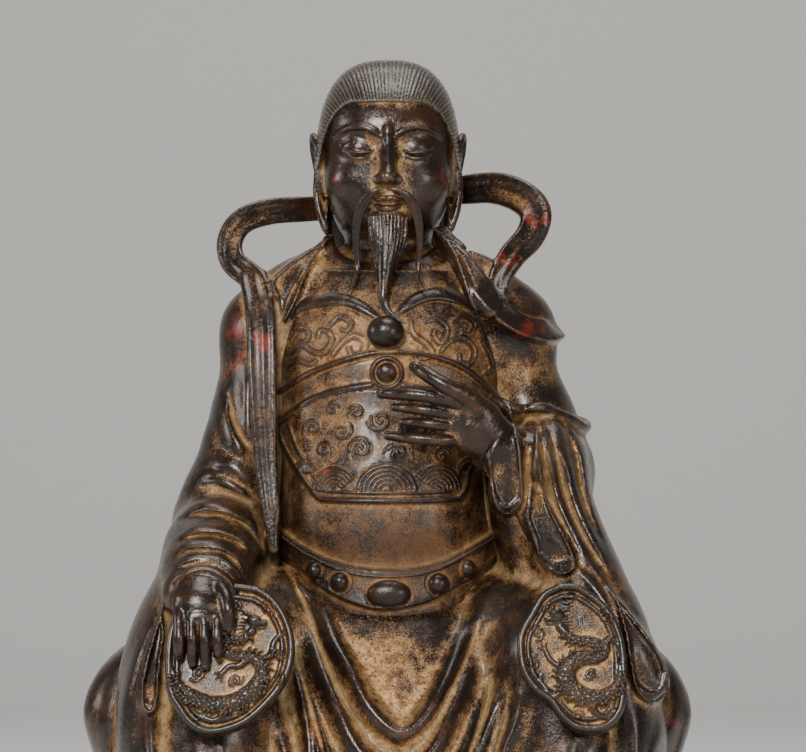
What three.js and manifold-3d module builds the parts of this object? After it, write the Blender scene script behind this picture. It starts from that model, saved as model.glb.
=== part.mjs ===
// Seated figure of a Daoist warrior god: one lacquered and gilded bronze casting with its low plinth.
// Millimetres, +Z up. The figure faces -Y, and the origin is the middle of the plinth's underside.
// "Right" and "left" are the figure's own, so its right side is at -X.
import * as THREE from "three";
import { mergeVertices } from "three/addons/utils/BufferGeometryUtils.js";
import Module from "manifold-3d";

const wasm = await Module();
wasm.setup();

// Heights above the floor.
const CROWN = 405;
const EYES = 362;
const CHIN = 322;
const COLLAR = 306;
const WRIST = 220;
const ELBOW = 190;
const BELT = 150;
const KNEE = 121;
const SWELL = 91;
const PLINTH = 14;

// Distances from the middle plane.
const HEAD_HALF = 33;
const SHOULDER_OUT = 56;
const KNEE_OUT = 81;
const SWELL_OUT = 149;
const FOOT_OUT = 52;
const PLINTH_HALF = 134;

// Distances in front of the plane of the shoulders, or behind it.
const CHEST_FRONT = 44;
const BELLY_FRONT = 60;
const KNEE_FRONT = 72;
const PLINTH_FRONT = 132;
const PLINTH_BACK = 84;

const BRONZE = new THREE.MeshStandardMaterial({ color: 0x3a2a1c, roughness: 0.38, metalness: 0.75 });

const DEGREE = Math.PI / 180;
const FULL_TURN = 2 * Math.PI;
const SIDES = { right: -1, left: 1 };

const point = ([x, y, z]) => new THREE.Vector3(x, y, z);
const row = (count, make) => Array.from({ length: count }, (_, i) => make(i, i / Math.max(1, count - 1)));
const mix = (a, b, t) => a + (b - a) * t;

// The value at share t along a list of values, or the value itself if it is one number.
function level(values, t) {
  if (!Array.isArray(values)) return values;
  const place = t * (values.length - 1);
  const index = Math.min(Math.floor(place), values.length - 2);
  return mix(values[index], values[index + 1], place - index);
}

// A closed geometry as a solid, with its faces pointing out.
function solid(geometry) {
  const bare = geometry.clone();
  bare.deleteAttribute("normal");
  bare.deleteAttribute("uv");
  const merged = mergeVertices(bare, 1e-4);
  const positions = merged.attributes.position.array;
  const triangles = new Uint32Array(merged.index.array);
  const corner = (index) => new THREE.Vector3().fromArray(positions, 3 * index);
  let volume = 0;
  for (let i = 0; i < triangles.length; i += 3) {
    const [a, b, c] = [0, 1, 2].map((k) => corner(triangles[i + k]));
    volume += a.dot(b.cross(c));
  }
  if (volume < 0) triangles.reverse();
  return new wasm.Manifold(
    new wasm.Mesh({ numProp: 3, vertProperties: positions, triVerts: triangles }),
  );
}

// A solid as a three.js geometry.
function geometryOf(manifold) {
  const mesh = manifold.getMesh();
  const positions = new Float32Array(3 * mesh.numVert);
  for (let v = 0; v < mesh.numVert; v += 1) {
    positions.set(mesh.vertProperties.subarray(v * mesh.numProp, v * mesh.numProp + 3), 3 * v);
  }
  const geometry = new THREE.BufferGeometry();
  geometry.setAttribute("position", new THREE.BufferAttribute(positions, 3));
  geometry.setIndex(new THREE.BufferAttribute(new Uint32Array(mesh.triVerts), 1));
  return geometry;
}

// A closed skin over a row of rings that all have the same number of points.
function skin(rings) {
  const count = rings[0].length;
  const centres = [rings[0], rings.at(-1)].map((ring) =>
    ring.reduce((sum, p) => sum.add(p), new THREE.Vector3()).divideScalar(count),
  );
  const corners = [...rings.flat(), ...centres];
  const [first, last] = [corners.length - 2, corners.length - 1];
  const index = [];
  for (let i = 0; i < count; i += 1) {
    const next = (i + 1) % count;
    const end = (rings.length - 1) * count;
    index.push(first, next, i, last, end + i, end + next);
    for (let ring = 0; ring < rings.length - 1; ring += 1) {
      const [here, above] = [ring * count, (ring + 1) * count];
      index.push(here + i, here + next, above + next, here + i, above + next, above + i);
    }
  }
  const geometry = new THREE.BufferGeometry().setFromPoints(corners);
  geometry.setIndex(index);
  return solid(geometry);
}

// A ball, egg or lens: its own radius along each axis, turned about X, Y and Z in degrees.
function ball(centre, radii, { turn = [0, 0, 0], around = 10, down = 6 } = {}) {
  const geometry = new THREE.SphereGeometry(1, around, down);
  geometry.rotateX(Math.PI / 2);
  geometry.scale(...radii);
  const euler = new THREE.Euler(...turn.map((angle) => angle * DEGREE));
  geometry.applyMatrix4(new THREE.Matrix4().makeRotationFromEuler(euler));
  geometry.translate(...centre);
  return solid(geometry);
}

// A roll along a smooth line: an ellipse `wide` across the way it faces and `thick` along it. With
// `round`, the ends are capped that share of the width beyond the first and last points. `pleat` sets
// every other point of a ring in, for folds along the roll, and `puff` every other ring, for folds across.
function roll(points, wide, options = {}) {
  const { thick = wide, sides = 6, face = null, steps = points.length, flat = false } = options;
  const { round = 0, pleat = 0, puff = 0 } = options;
  const line = new THREE.CatmullRomCurve3(points.map(point), false, "centripetal");
  const frames = line.computeFrenetFrames(steps, false);
  const reach = flat ? Math.SQRT2 : 1;
  const start = Math.PI / 2 + (flat ? Math.PI / sides : 0);
  const ring = (step, beyond, share) => {
    const t = step / steps;
    const tangent = frames.tangents[step];
    const centre = line.getPointAt(t).addScaledVector(tangent, beyond);
    let [across, along] = [frames.normals[step], frames.binormals[step]];
    if (face) {
      across = new THREE.Vector3().crossVectors(tangent, point(face)).normalize();
      along = new THREE.Vector3().crossVectors(across, tangent).normalize();
    }
    const [a, b] = [wide, thick].map((size) => level(size, t) * reach * share);
    return row(sides, (i) => {
      const angle = start + (FULL_TURN * i) / sides;
      const set = 1 - pleat * (i % 2) - puff * (step % 2);
      const out = centre.clone().addScaledVector(across, a * set * Math.cos(angle));
      return out.addScaledVector(along, b * set * Math.sin(angle));
    });
  };
  const rings = row(steps + 1, (i) => ring(i, 0, 1));
  if (round) {
    rings.unshift(ring(0, -round * level(wide, 0), 0.55));
    rings.push(ring(steps, round * level(wide, 1), 0.55));
  }
  return skin(rings);
}

// A body built up in level rings: each has a height, half its width, its reach to front and back, and
// how far every other point stands in, for the folds of a skirt.
function stack(levels, { around = 20, fullness = 2.3 } = {}) {
  const rounded = (value) => Math.sign(value) * Math.abs(value) ** (2 / fullness);
  const rings = levels.map(([z, half, front, back, pleat = 0]) =>
    row(around, (i) => {
      const angle = (FULL_TURN * i) / around;
      const set = 1 - pleat * (i % 2);
      const depth = rounded(Math.sin(angle)) * set;
      return point([half * rounded(Math.cos(angle)) * set, depth < 0 ? front * depth : back * depth, z]);
    }),
  );
  return skin(rings);
}

const union = (parts) => wasm.Manifold.union(parts);
const bothSides = (make) => Object.values(SIDES).flatMap(make);

// The plinth: a low slab with rounded corners and a bevelled top edge.
function plinth() {
  const corner = 36;
  const bevel = 3;
  const [width, depth] = [2 * (PLINTH_HALF - bevel), PLINTH_FRONT + PLINTH_BACK - 2 * bevel];
  const [right, front] = [-width / 2, bevel - PLINTH_FRONT];
  const outline = new THREE.Shape();
  outline.moveTo(right + corner, front);
  outline.absarc(right + width - corner, front + corner, corner, -Math.PI / 2, 0);
  outline.absarc(right + width - corner, front + depth - corner, corner, 0, Math.PI / 2);
  outline.absarc(right + corner, front + depth - corner, corner, Math.PI / 2, Math.PI);
  outline.absarc(right + corner, front + corner, corner, Math.PI, 1.5 * Math.PI);
  const slab = new THREE.ExtrudeGeometry(outline, {
    depth: PLINTH - 2 * bevel,
    bevelThickness: bevel,
    bevelSize: bevel,
    bevelSegments: 1,
    curveSegments: 3,
  });
  slab.translate(0, 0, bevel);
  return solid(slab);
}

// The robe that swells out over the seat, the knees and shins in it, and the cloth between them.
function lowerBody() {
  const hem = PLINTH - 2;
  const seat = stack(
    [
      [hem, 127, 76, 82, 0.09],
      [46, 131, 68, 77, 0.07],
      [74, 144, 60, 73, 0.04],
      [SWELL - 2, SWELL_OUT, 54, 70],
      [104, 146, 48, 67],
      [118, 134, 45, 62],
      [130, 112, 42, 58],
      [BELT, 66, 36, 52],
    ],
    { fullness: 2.2, around: 32 },
  );
  const lap = stack(
    [
      [hem, 94, 113, 10, 0.1],
      [44, 91, 104, 10, 0.1],
      [80, 85, 94, 10, 0.07],
      [108, 78, 83, 10, 0.03],
      [132, 66, 68, 10],
      [BELT - 6, 52, 57, 10],
    ],
    { fullness: 2.5, around: 32 },
  );
  const legs = bothSides((side) => {
    const knee = [side * KNEE_OUT, -KNEE_FRONT, KNEE];
    return [
      roll([[side * 40, 6, KNEE + 15], [side * 63, -36, KNEE + 7], knee], [33, 32, 31], {
        sides: 10,
        steps: 2,
        round: 0.75,
      }),
      roll([[side * KNEE_OUT, -66, KNEE], [side * 81, -68, 70], [side * 80, -70, hem]], [31, 31, 35], {
        thick: [37, 37, 44],
        sides: 14,
        steps: 3,
        pleat: 0.08,
        face: [0, -1, 0],
      }),
    ];
  });
  return [seat, lap, ...legs];
}

// Bare feet under the hem, the toes over the plinth's front.
function feet() {
  const toeGap = 5.8;
  return bothSides((side) => {
    const toes = row(5, (i) => {
      const x = side * (FOOT_OUT - 2 * toeGap + toeGap * i);
      const tip = -PLINTH_FRONT + 6 + 1.8 * i;
      const thickness = i === 0 ? 4.6 : 3.5;
      return roll([[x, tip + 16, PLINTH + 6], [x, tip, PLINTH + 2.5]], [thickness, 0.8 * thickness], {
        sides: 5,
        steps: 1,
      });
    });
    return [ball([side * FOOT_OUT, -100, PLINTH + 5], [17, 26, 13], { around: 8, down: 5 }), ...toes];
  });
}

// The armoured trunk, from the seat to the collar, with the neck and the shoulders.
function trunk() {
  return [
    stack([
      [BELT - 16, 50, 48, 44],
      [BELT + 6, 53, 56, 46],
      [178, 55, BELLY_FRONT, 46],
      [204, 55, 56, 44],
      [236, 56, 49, 43],
      [266, 58, CHEST_FRONT, 42],
      [288, 52, 35, 38],
      [COLLAR, 31, 24, 29],
      [COLLAR + 9, 24, 19, 25],
    ]),
    roll([[0, 6, COLLAR - 4], [0, 2, CHIN + 22]], [22, 21], { sides: 8, steps: 1 }),
    ...bothSides((side) =>
      roll([[side * 16, 4, 297], [side * 40, 2, 287], [side * SHOULDER_OUT, 2, 272]], [17, 23, 24], {
        sides: 10,
        steps: 2,
        thick: [20, 26, 27],
        face: [0, -1, 0],
        round: 0.6,
      }),
    ),
  ];
}

// The right arm: elbow out, forearm on the thigh, and the sleeve falling over the outside of the knee.
function rightArm() {
  const upper = roll(
    [[-SHOULDER_OUT, 2, 274], [-61, 2, 244], [-68, -2, 212], [-77, -6, ELBOW - 8]],
    [23, 21, 23, 26],
    { sides: 10, thick: [26, 28, 29, 29], face: [0, -1, 0], steps: 6, puff: 0.07, round: 0.5 },
  );
  const cuff = roll([[-77, -8, 176], [-83, -44, 166], [-85, -70, 156], [-86, -88, 148]], [26, 25, 23, 19], {
    sides: 10,
    thick: [25, 24, 21, 15],
    face: [0, 0, 1],
    steps: 8,
    puff: 0.1,
    round: 0.3,
  });
  const fall = roll(
    [[-82, -34, 174], [-96, -40, 148], [-108, -46, 120], [-113, -46, 80], [-110, -42, PLINTH - 2]],
    [15, 17, 16, 15, 12],
    { sides: 12, thick: [28, 38, 46, 48, 44], face: [0, -1, 0], steps: 5, pleat: 0.08, round: 0.4 },
  );
  const tip = roll([[-102, -84, 144], [-109, -89, 122], [-112, -89, 104]], [2.5, 5, 5], {
    thick: [3, 5, 4],
    steps: 3,
    sides: 5,
    round: 0.6,
  });
  return [upper, cuff, fall, tip];
}

// The left arm: a short flared oversleeve, the forearm across the chest, and the sleeve falling from it.
function leftArm() {
  const upper = roll(
    [[SHOULDER_OUT, 2, 274], [62, 4, 250], [70, 2, 226], [76, -4, 202]],
    [23, 20, 22, 22],
    { sides: 10, thick: [26, 27, 29, 29], face: [0, -1, 0], steps: 4, round: 0.5 },
  );
  const flare = roll(
    [[51, -34, 238], [64, -37, 235], [78, -31, 231], [87, -16, 227], [90, 4, 226]],
    [2, 3.4, 3.4, 3.4, 2],
    { thick: [5, 8, 9, 8, 5], face: [0.5, -1, 0], steps: 6, sides: 4 },
  );
  const forearm = roll([[78, -8, 207], [71, -42, 208], [60, -64, 213], [48, -73, WRIST - 2]], [21, 19, 15, 11], {
    sides: 10,
    thick: [22, 20, 16, 11],
    face: [0, 0, 1],
    steps: 4,
    round: 0.3,
  });
  const fall = roll(
    [[74, -26, 216], [77, -32, 184], [92, -40, 150], [106, -46, 122], [113, -46, 80], [110, -42, PLINTH - 2]],
    [18, 22, 21, 18, 15, 12],
    { sides: 12, thick: [28, 36, 40, 46, 48, 44], face: [0, -1, 0], steps: 6, pleat: 0.08, round: 0.4 },
  );
  const lining = roll([[56, -40, 216], [60, -36, 190], [66, -30, 158]], [11, 13, 12], {
    thick: [20, 24, 24],
    face: [0, -1, 0],
    steps: 2,
  });
  const tip = roll([[97, -70, 160], [107, -86, 136], [115, -92, 119], [119, -92, 103]], [3, 6.5, 10, 9], {
    thick: [4, 6, 7, 5],
    face: [0, -1, 0],
    steps: 4,
    round: 0.5,
  });
  const tongue = (points, widths) =>
    roll(points, widths, { thick: [4, 7, 6, 5], face: [0, -1, 0], steps: 4, round: 0.5 });
  return [
    upper,
    flare,
    forearm,
    fall,
    lining,
    tip,
    tongue([[52, -76, 222], [55, -80, 206], [54, -79, 194], [51.5, -77, 185]], [3, 7.5, 8.5, 6]),
    tongue([[60, -70, 214], [67, -74, 190], [75, -74, 172], [81, -74, 163]], [3, 7.5, 10, 7]),
  ];
}

// A finger: a slim roll with a round tip.
function finger(points, radius) {
  return roll(points, [radius, radius, 0.8 * radius], { sides: 5, steps: 2, round: 0.5 });
}

// The right hand lies over the knee with the fingers down; the left is held before the chest, the
// thumb and first finger almost meeting.
function hands() {
  const knuckleGap = 6;
  const rightBack = roll([[-85, -88, 151], [-88, -99, 148], [-88, -105, 137]], [13, 12.5, 11], {
    sides: 8,
    thick: [11, 8, 6],
    face: [0, -0.3, 1],
    steps: 2,
    round: 0.3,
  });
  const rightFingers = [119, 116, 114.5, 118].map((tip, i) => {
    const x = -97 + knuckleGap * i;
    return finger([[x, -104, 142], [x, -109, 131], [x, -109, tip]], 3.2);
  });
  const rightThumb = finger([[-79, -102, 152], [-75, -107, 145], [-75, -107, 134]], 3.2);
  const leftBack = roll([[51, -75, WRIST - 2], [42, -80, WRIST + 4], [32, -80, WRIST + 11]], [10, 13, 10], {
    sides: 8,
    thick: [9, 7.5, 5.5],
    face: [0, -1, 0],
    steps: 2,
    round: 0.3,
  });
  const leftThumb = finger([[36, -84, 240], [25, -86, 247], [12, -76, 256]], 3.6);
  const leftFingers = [[243, 243.5, -4], [234, 236.5, 1], [228, 229, 6], [222, 223.5, 0]].map(
    ([root, tip, reach]) => finger([[34, -82, mix(root, 232, 0.3)], [18, -84, root], [reach, -74, tip]], 3.1),
  );
  return [rightBack, ...rightFingers, rightThumb, leftBack, leftThumb, ...leftFingers];
}

// The head: a round skull, long ears, closed eyes under arched brows, a straight nose and a calm mouth.
function head() {
  const skull = [
    ball([0, 4, EYES + 6], [HEAD_HALF - 1, 36, 34], { around: 14, down: 9 }),
    ball([0, -9, EYES - 10], [28.5, 27, 30], { around: 12, down: 8 }),
    ball([0, -17, CHIN + 9], [15, 17, 12], { around: 8, down: 5 }),
  ];
  const sides = bothSides((side) => [
    roll(
      [[side * 32, 6, EYES + 4], [side * 34, 3, EYES - 6], [side * 32, 1, EYES - 22], [side * 31, -2, EYES - 38]],
      [3, 4, 3, 4],
      { thick: [6, 9, 5, 5], face: [0, -1, 0], steps: 4, sides: 5, round: 0.6 },
    ),
    roll([[side * 3, -33, EYES + 5], [side * 13, -29.4, EYES + 9], [side * 25, -19.5, EYES + 7]], [1, 2.4, 1.4], {
      sides: 4,
    }),
    ball([side * 13, -28.6, EYES], [8.4, 6, 4], { turn: [0, 0, side * 22], around: 8, down: 4 }),
  ]);
  const nose = roll([[0, -33, EYES + 5], [0, -39, EYES - 9], [0, -40, EYES - 17], [0, -34, EYES - 21]], [2.4, 3, 5.4, 4], {
    thick: [2.6, 3.6, 4.4, 3],
    face: [0, -1, 0],
    sides: 5,
    steps: 3,
  });
  const lips = [28.5, 25].map((drop) =>
    roll([[-8, -30, EYES - drop + 1], [0, -36, EYES - drop], [8, -30, EYES - drop + 1]], [0.8, 2, 0.8], {
      sides: 4,
      steps: 2,
    }),
  );
  return [...skull, ...sides, nose, ...lips];
}

// The hair: combed straight back off the face in ridges over a rounded cap that stands off the brow.
function hairCap() {
  const ridges = 21;
  const middle = 348;
  const fullness = 2.8;
  const [half, front, nape] = [HEAD_HALF + 1.8, -30, 44];
  const opening = 112 * DEGREE;
  const rounded = (value) => Math.sign(value) * Math.abs(value) ** (2 / fullness);
  const depths = [0, 0.05, 0.3, 0.62, 0.86, 1];
  const rings = depths.map((depth, ring) =>
    row(2 * ridges + 1, (i, t) => {
      const swing = mix(-opening, opening, t);
      const rim = front + 28 * (1 - Math.cos(swing)) ** 0.52;
      const y = mix(rim, nape, depth);
      const full = (ring ? 1 : 0.93) * Math.sqrt(Math.max(0.04, 1 - (Math.abs(y - 4) / 45) ** 2.2));
      const reach = full * (i % 2 ? 1 : 0.97);
      const height = Math.cos(swing) > 0 ? CROWN - middle : half;
      return point([half * rounded(Math.sin(swing)) * reach, y, middle + height * rounded(Math.cos(swing)) * reach]);
    }),
  );
  return skin(rings);
}

// The loose hair down the back, in locks side by side.
function hairFall() {
  const [top, bottom] = [372, 250];
  return roll([[0, 18, top], [0, 26, 340], [0, 30, 300], [0, 34, bottom]], [27, 30, 30, 22], {
    thick: [18, 16, 14, 9],
    face: [0, 1, 0],
    sides: 22,
    steps: 4,
    pleat: 0.09,
    round: 0.3,
  });
}

// The long moustache, and the beard that narrows to a curl over the boss on the chest.
function beard() {
  const moustache = bothSides((side) =>
    roll(
      [[side * 3, -37, 341], [side * 12, -35, 334], [side * 16.5, -31, 320], [side * 16, -32, 306], [side * 18, -36, 293]],
      [1.2, 2.6, 2.2, 1.8, 0.8],
      { sides: 4, steps: 6 },
    ),
  );
  const fall = roll(
    [[0, -32, 332], [0, -37, 316], [0, -39, 298], [1, -43, 284], [6, -49, 276]],
    [8, 9, 5, 3.4, 1.6],
    { thick: [5, 6, 4, 3, 1.6], face: [0, -1, 0], steps: 6 },
  );
  return [...moustache, fall];
}

// The scarf: a flat band that stands off behind the head in a loop over each shoulder and falls in front.
function scarf() {
  const band = { flat: true, sides: 4, face: [0, -1, 0] };
  const rightLoop = roll(
    [[-14, 30, 333], [-54, 16, 330], [-68, 8, 325.5], [-73.5, 3, 316], [-71.5, -2, 306], [-62, -12, 297], [-59, -24, 284]],
    [6, 6.4, 6.8, 6.8, 6.6, 6.8, 7.5],
    { ...band, thick: [3, 3, 3, 3, 3, 4, 4], steps: 12 },
  );
  const rightFall = roll([[-62, -14, 297], [-59, -31, 266], [-58, -36, 220], [-54.5, -44, 172]], [7.5, 8.2, 7, 3], {
    ...band,
    thick: [4, 4.5, 4.5, 3],
    steps: 5,
  });
  const leftLoop = roll(
    [[14, 30, 338], [51, 16, 340.5], [65, 8, 335], [69, 2, 327], [65.5, -3, 317.5], [57, -9, 306], [54, -18, 292]],
    [6, 7.5, 8.2, 8.6, 7.4, 6.8, 5],
    { ...band, thick: [3, 3, 3, 3, 3, 4, 3], steps: 12 },
  );
  const leftWrap = roll(
    [[27, -20, 316], [35, -31, 302], [44, -37, 288], [56, -37, 278], [68, -29, 272], [75, -10, 270]],
    [2.6, 3.6, 5, 6.2, 6.4, 5],
    { ...band, face: [0.4, -1, 0.5], thick: 3.6, steps: 7 },
  );
  return [rightLoop, rightFall, leftLoop, leftWrap];
}

// The place where a straight look from the front meets the body, at a sideways place and a height.
function onBody(body, x, z) {
  return new THREE.Raycaster(point([x, -300, z]), point([0, 1, 0])).intersectObject(body)[0]?.point;
}

// A ridge of metal laid on the body along a line that is drawn as seen from the front.
function ridge(body, line, width, steps = line.length, shape = {}) {
  const drawn = new THREE.SplineCurve(line.map(([x, z]) => new THREE.Vector2(x, z)));
  const places = drawn.getPoints(steps).map(({ x, y: z }) => onBody(body, x, z));
  return roll(places.map((place) => place.toArray()), width, { sides: 3, steps, face: [0, -1, 0], ...shape });
}

// An arc as a line for a ridge: its centre, radius and first and last angles in degrees.
function arc([x, z], radius, from, to, count) {
  return row(count, (_, t) => {
    const angle = mix(from, to, t) * DEGREE;
    return [x + radius * Math.cos(angle), z + radius * Math.sin(angle)];
  });
}

// A line that hangs or arches between two places: `drop` is how far its middle lies below them.
function hung([x0, z0], [x1, z1], drop, count = 5) {
  return row(count, (_, t) => [mix(x0, x1, t), mix(z0, z1, t) - 4 * drop * t * (1 - t)]);
}

// The armour's raised work on the chest: the breast arcs, the boss, the buckle and the band between them.
function chestArmour(body) {
  const lay = (line, width, steps = 4) => ridge(body, line, width, steps);
  return [
    lay(hung([-47, 280], [-10, 276], -11), [1.6, 3.6, 3.6, 1.6]),
    lay(hung([9, 276], [45, 283], -9), [1.6, 3.6, 3.6, 1.6]),
    lay(hung([-51, 243], [51, 244], -19), 1.8, 6),
    lay(hung([-51, 230], [-11, 246], -3), 1.8, 3),
    lay(hung([13, 246], [50, 232], -3), 1.8, 3),
    ball([-1, -46, 272], [8.6, 8, 8], { around: 9, down: 6 }),
    ball([-0.5, -48, 252.5], [8, 5, 8], { around: 8, down: 4 }),
  ];
}

// The flared plate over the belly, with its thick rim and the round-topped waves cast on it.
function bellyPlate(body) {
  const foot = 193;
  const outline = [[-50, 229], [-45, 212], [-37, 199], [-30, foot + 1], [30, foot + 1], [38, 200], [42, 207], [49, 214]];
  const waves = [-19, 1, 21].map((middle) =>
    ridge(body, arc([middle, foot + 4], 9, 0, 180, 5), 1.4, 4),
  );
  return [ridge(body, outline, 2.4, 10), ...waves];
}

// The belt that sags under the belly, with its five cabochons.
function belt(body) {
  const half = 50;
  const sag = (x) => BELT - 1 + 15 * (x / half) ** 2;
  const line = (lift) => row(7, (_, t) => [mix(-half, half, t), sag(mix(-half, half, t)) + lift]);
  const stones = [-36, -22.5, 0, 24, 38].map((x) => {
    const size = x === 0 ? [10.4, 7.5, 6.6] : [5, 6, 5];
    return ball(onBody(body, x, sag(x)).toArray(), size, { around: 8, down: 4 });
  });
  return [
    ridge(body, line(0), 6.6, 6, { sides: 4, flat: true, thick: 2.6 }),
    ridge(body, line(8.5), 2.4, 6),
    ...stones,
  ];
}

// A lobed medallion set on the knee, with a raised rim and a dragon coiled in relief.
function medallion(side) {
  const [thickness, rim] = [9, 2.4];
  const centre = point(side < 0 ? [-71, -96, 124] : [85, -96, 125]);
  const outline = [...arc([0, 0], 25, 4, 218, 9), ...arc([11, -24], 17, 205, 358, 6)];
  const inner = outline.map(([x, z]) => [mix(5, x, 0.86), mix(-9, z, 0.86)]);
  const toVectors = (line) => {
    const vectors = line.map(([x, z]) => new THREE.Vector2(side * x, z));
    return side < 0 ? vectors.reverse() : vectors;
  };
  const lean = new THREE.Matrix4().makeRotationX(76 * DEGREE).setPosition(centre);
  const slab = (depth, hole) => {
    const shape = new THREE.Shape(toVectors(outline));
    if (hole) shape.holes.push(new THREE.Path(toVectors(hole)));
    return solid(new THREE.ExtrudeGeometry(shape, { depth, bevelEnabled: false }).applyMatrix4(lean));
  };
  const coil = row(9, (_, t) => {
    const angle = mix(190, 540, t) * DEGREE;
    const radius = mix(17, 3, t);
    const [x, z] = [4 + radius * Math.cos(angle), 1.15 * radius * Math.sin(angle) - 9];
    return point([side * x, z, thickness]).applyMatrix4(lean).toArray();
  });
  const dragon = roll(coil, [1.6, 3.8, 4.4, 3.8, 2.8], { thick: 3, sides: 4, steps: 9, face: [0, -1, 0.25] });
  return [slab(thickness), slab(thickness + rim, inner), dragon];
}

// The cloth that hangs in deep curves between the knees.
function swags(body) {
  return row(3, (i) => {
    const width = 4.6 - 0.6 * i;
    const line = hung([-42 + 3 * i, 150 - 6 * i], [47 - 3 * i, 148 - 6 * i], 58 - 15 * i, 7);
    return ridge(body, line, [0.4 * width, width, width, 0.4 * width], 6);
  });
}

// The crossed collar of the robe and the round collar inside it.
function collar(body) {
  return [
    ridge(body, hung([-29, 314], [-44, 284], -2, 3), 2.4, 2),
    ridge(body, hung([-26, 308], [26, 308], 12), 2.6, 4),
  ];
}

const masses = union([
  plinth(),
  ...lowerBody(),
  ...feet(),
  ...trunk(),
  ...rightArm(),
  ...leftArm(),
  ...head(),
  hairCap(),
  hairFall(),
]);
const body = new THREE.Mesh(geometryOf(masses), new THREE.MeshBasicMaterial({ side: THREE.DoubleSide }));
const casting = union([
  masses,
  ...hands(),
  ...beard(),
  ...scarf(),
  ...chestArmour(body),
  ...bellyPlate(body),
  ...belt(body),
  ...bothSides(medallion),
  ...collar(body),
  ...swags(body),
]);

const figure = new THREE.Mesh(geometryOf(casting), BRONZE);
figure.name = "figure";
const group = new THREE.Group();
group.add(figure);
export default group;
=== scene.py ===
import math

import bpy
import numpy as np
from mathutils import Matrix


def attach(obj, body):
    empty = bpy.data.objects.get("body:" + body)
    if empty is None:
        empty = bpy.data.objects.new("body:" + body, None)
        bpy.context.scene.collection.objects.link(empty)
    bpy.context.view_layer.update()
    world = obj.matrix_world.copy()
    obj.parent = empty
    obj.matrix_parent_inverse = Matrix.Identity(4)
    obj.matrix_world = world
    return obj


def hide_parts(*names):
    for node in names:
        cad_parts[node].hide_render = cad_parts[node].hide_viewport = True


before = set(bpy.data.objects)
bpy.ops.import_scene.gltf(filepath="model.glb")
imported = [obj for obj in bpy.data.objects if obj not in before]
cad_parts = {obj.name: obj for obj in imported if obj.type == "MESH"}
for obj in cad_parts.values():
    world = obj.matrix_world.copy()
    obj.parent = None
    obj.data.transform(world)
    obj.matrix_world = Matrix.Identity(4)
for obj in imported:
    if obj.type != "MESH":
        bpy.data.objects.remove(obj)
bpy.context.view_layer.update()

import openvdb
from mathutils import Vector

bpy.ops.object.select_all(action="DESELECT")

# ---------------------------------------------------------------- the viewer's place
# The camera stands level in front of the chest, far enough off for the knees and the head to keep
# their true widths, and sees from the crown down to just under the knees.
VIEW_WIDTH = 0.387
VIEW_DISTANCE = 4.0
VIEW_MIDDLE = (0.0072, 0.2515)

bpy.ops.object.camera_add(
    location=(VIEW_MIDDLE[0], -VIEW_DISTANCE, VIEW_MIDDLE[1]), rotation=(math.pi / 2, 0, 0)
)
camera = bpy.context.object
camera.data.lens = camera.data.sensor_width * VIEW_DISTANCE / VIEW_WIDTH
camera.data.clip_end = 20
bpy.context.scene.camera = camera

# ---------------------------------------------------------------- floor and light
# A pale sweep of card: a floor that curves up behind the figure, so nothing of the room shows. It is
# see-through from its back, so the figure can be looked at from there too.
bpy.ops.mesh.primitive_plane_add(size=1, location=(0, 0, 0))
sweep = bpy.context.object
sweep.name = "pale_sweep"
reach, rise, bend = 3.0, 2.4, 0.8
profile = [(-5.0, 0.0), (reach - bend, 0.0)]
profile += [
    (reach - bend + bend * math.sin(a), bend - bend * math.cos(a))
    for a in np.linspace(0, math.pi / 2, 12)[1:]
]
profile += [(reach, rise)]
corners = [(x, y, z) for y, z in profile for x in (-4.0, 4.0)]
faces = [(2 * i, 2 * i + 1, 2 * i + 3, 2 * i + 2) for i in range(len(profile) - 1)]
sweep.data.clear_geometry()
sweep.data.from_pydata(corners, [], faces)
bpy.ops.object.shade_smooth()
card = bpy.data.materials.new("pale_card")
card.use_nodes = True
card.node_tree.nodes["Principled BSDF"].inputs["Base Color"].default_value = (0.70, 0.69, 0.67, 1)
card.node_tree.nodes["Principled BSDF"].inputs["Roughness"].default_value = 0.9
behind = card.node_tree.nodes.new("ShaderNodeNewGeometry")
shown = card.node_tree.nodes.new("ShaderNodeMath")
shown.operation = "SUBTRACT"
shown.inputs[0].default_value = 1.0
card.node_tree.links.new(behind.outputs["Backfacing"], shown.inputs[1])
card.node_tree.links.new(shown.outputs[0], card.node_tree.nodes["Principled BSDF"].inputs["Alpha"])
sweep.data.materials.append(card)

world = bpy.data.worlds.new("soft_room")
bpy.context.scene.world = world
world.use_nodes = True
world.node_tree.nodes["Background"].inputs["Color"].default_value = (0.97, 0.95, 0.93, 1)
world.node_tree.nodes["Background"].inputs["Strength"].default_value = 0.16

SOFTBOXES = {
    "key": ((-0.42, -1.9, 1.2), 38, 0.45, (1.0, 0.95, 0.89)),
    "fill": ((1.2, -1.7, 0.6), 8, 0.5, (1.0, 0.95, 0.90)),
    "side": ((-1.6, -0.3, 0.7), 7, 0.5, (1.0, 0.97, 0.94)),
    "top": ((0.1, -0.1, 1.6), 8, 0.6, (1.0, 0.98, 0.95)),
    "card": ((0.0, 0.9, 1.9), 22, 1.4, (1.0, 1.0, 1.0)),
}
for name, (place, power, size, tint) in SOFTBOXES.items():
    bpy.ops.object.light_add(type="AREA", location=place)
    light = bpy.context.object
    light.name = "softbox_" + name
    light.data.energy = power
    light.data.size = size
    light.data.color = tint
    aim = Vector((0, 2.6 if name == "card" else 0, 0.25)) - Vector(place)
    light.rotation_euler = aim.to_track_quat("-Z", "Y").to_euler()

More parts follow.
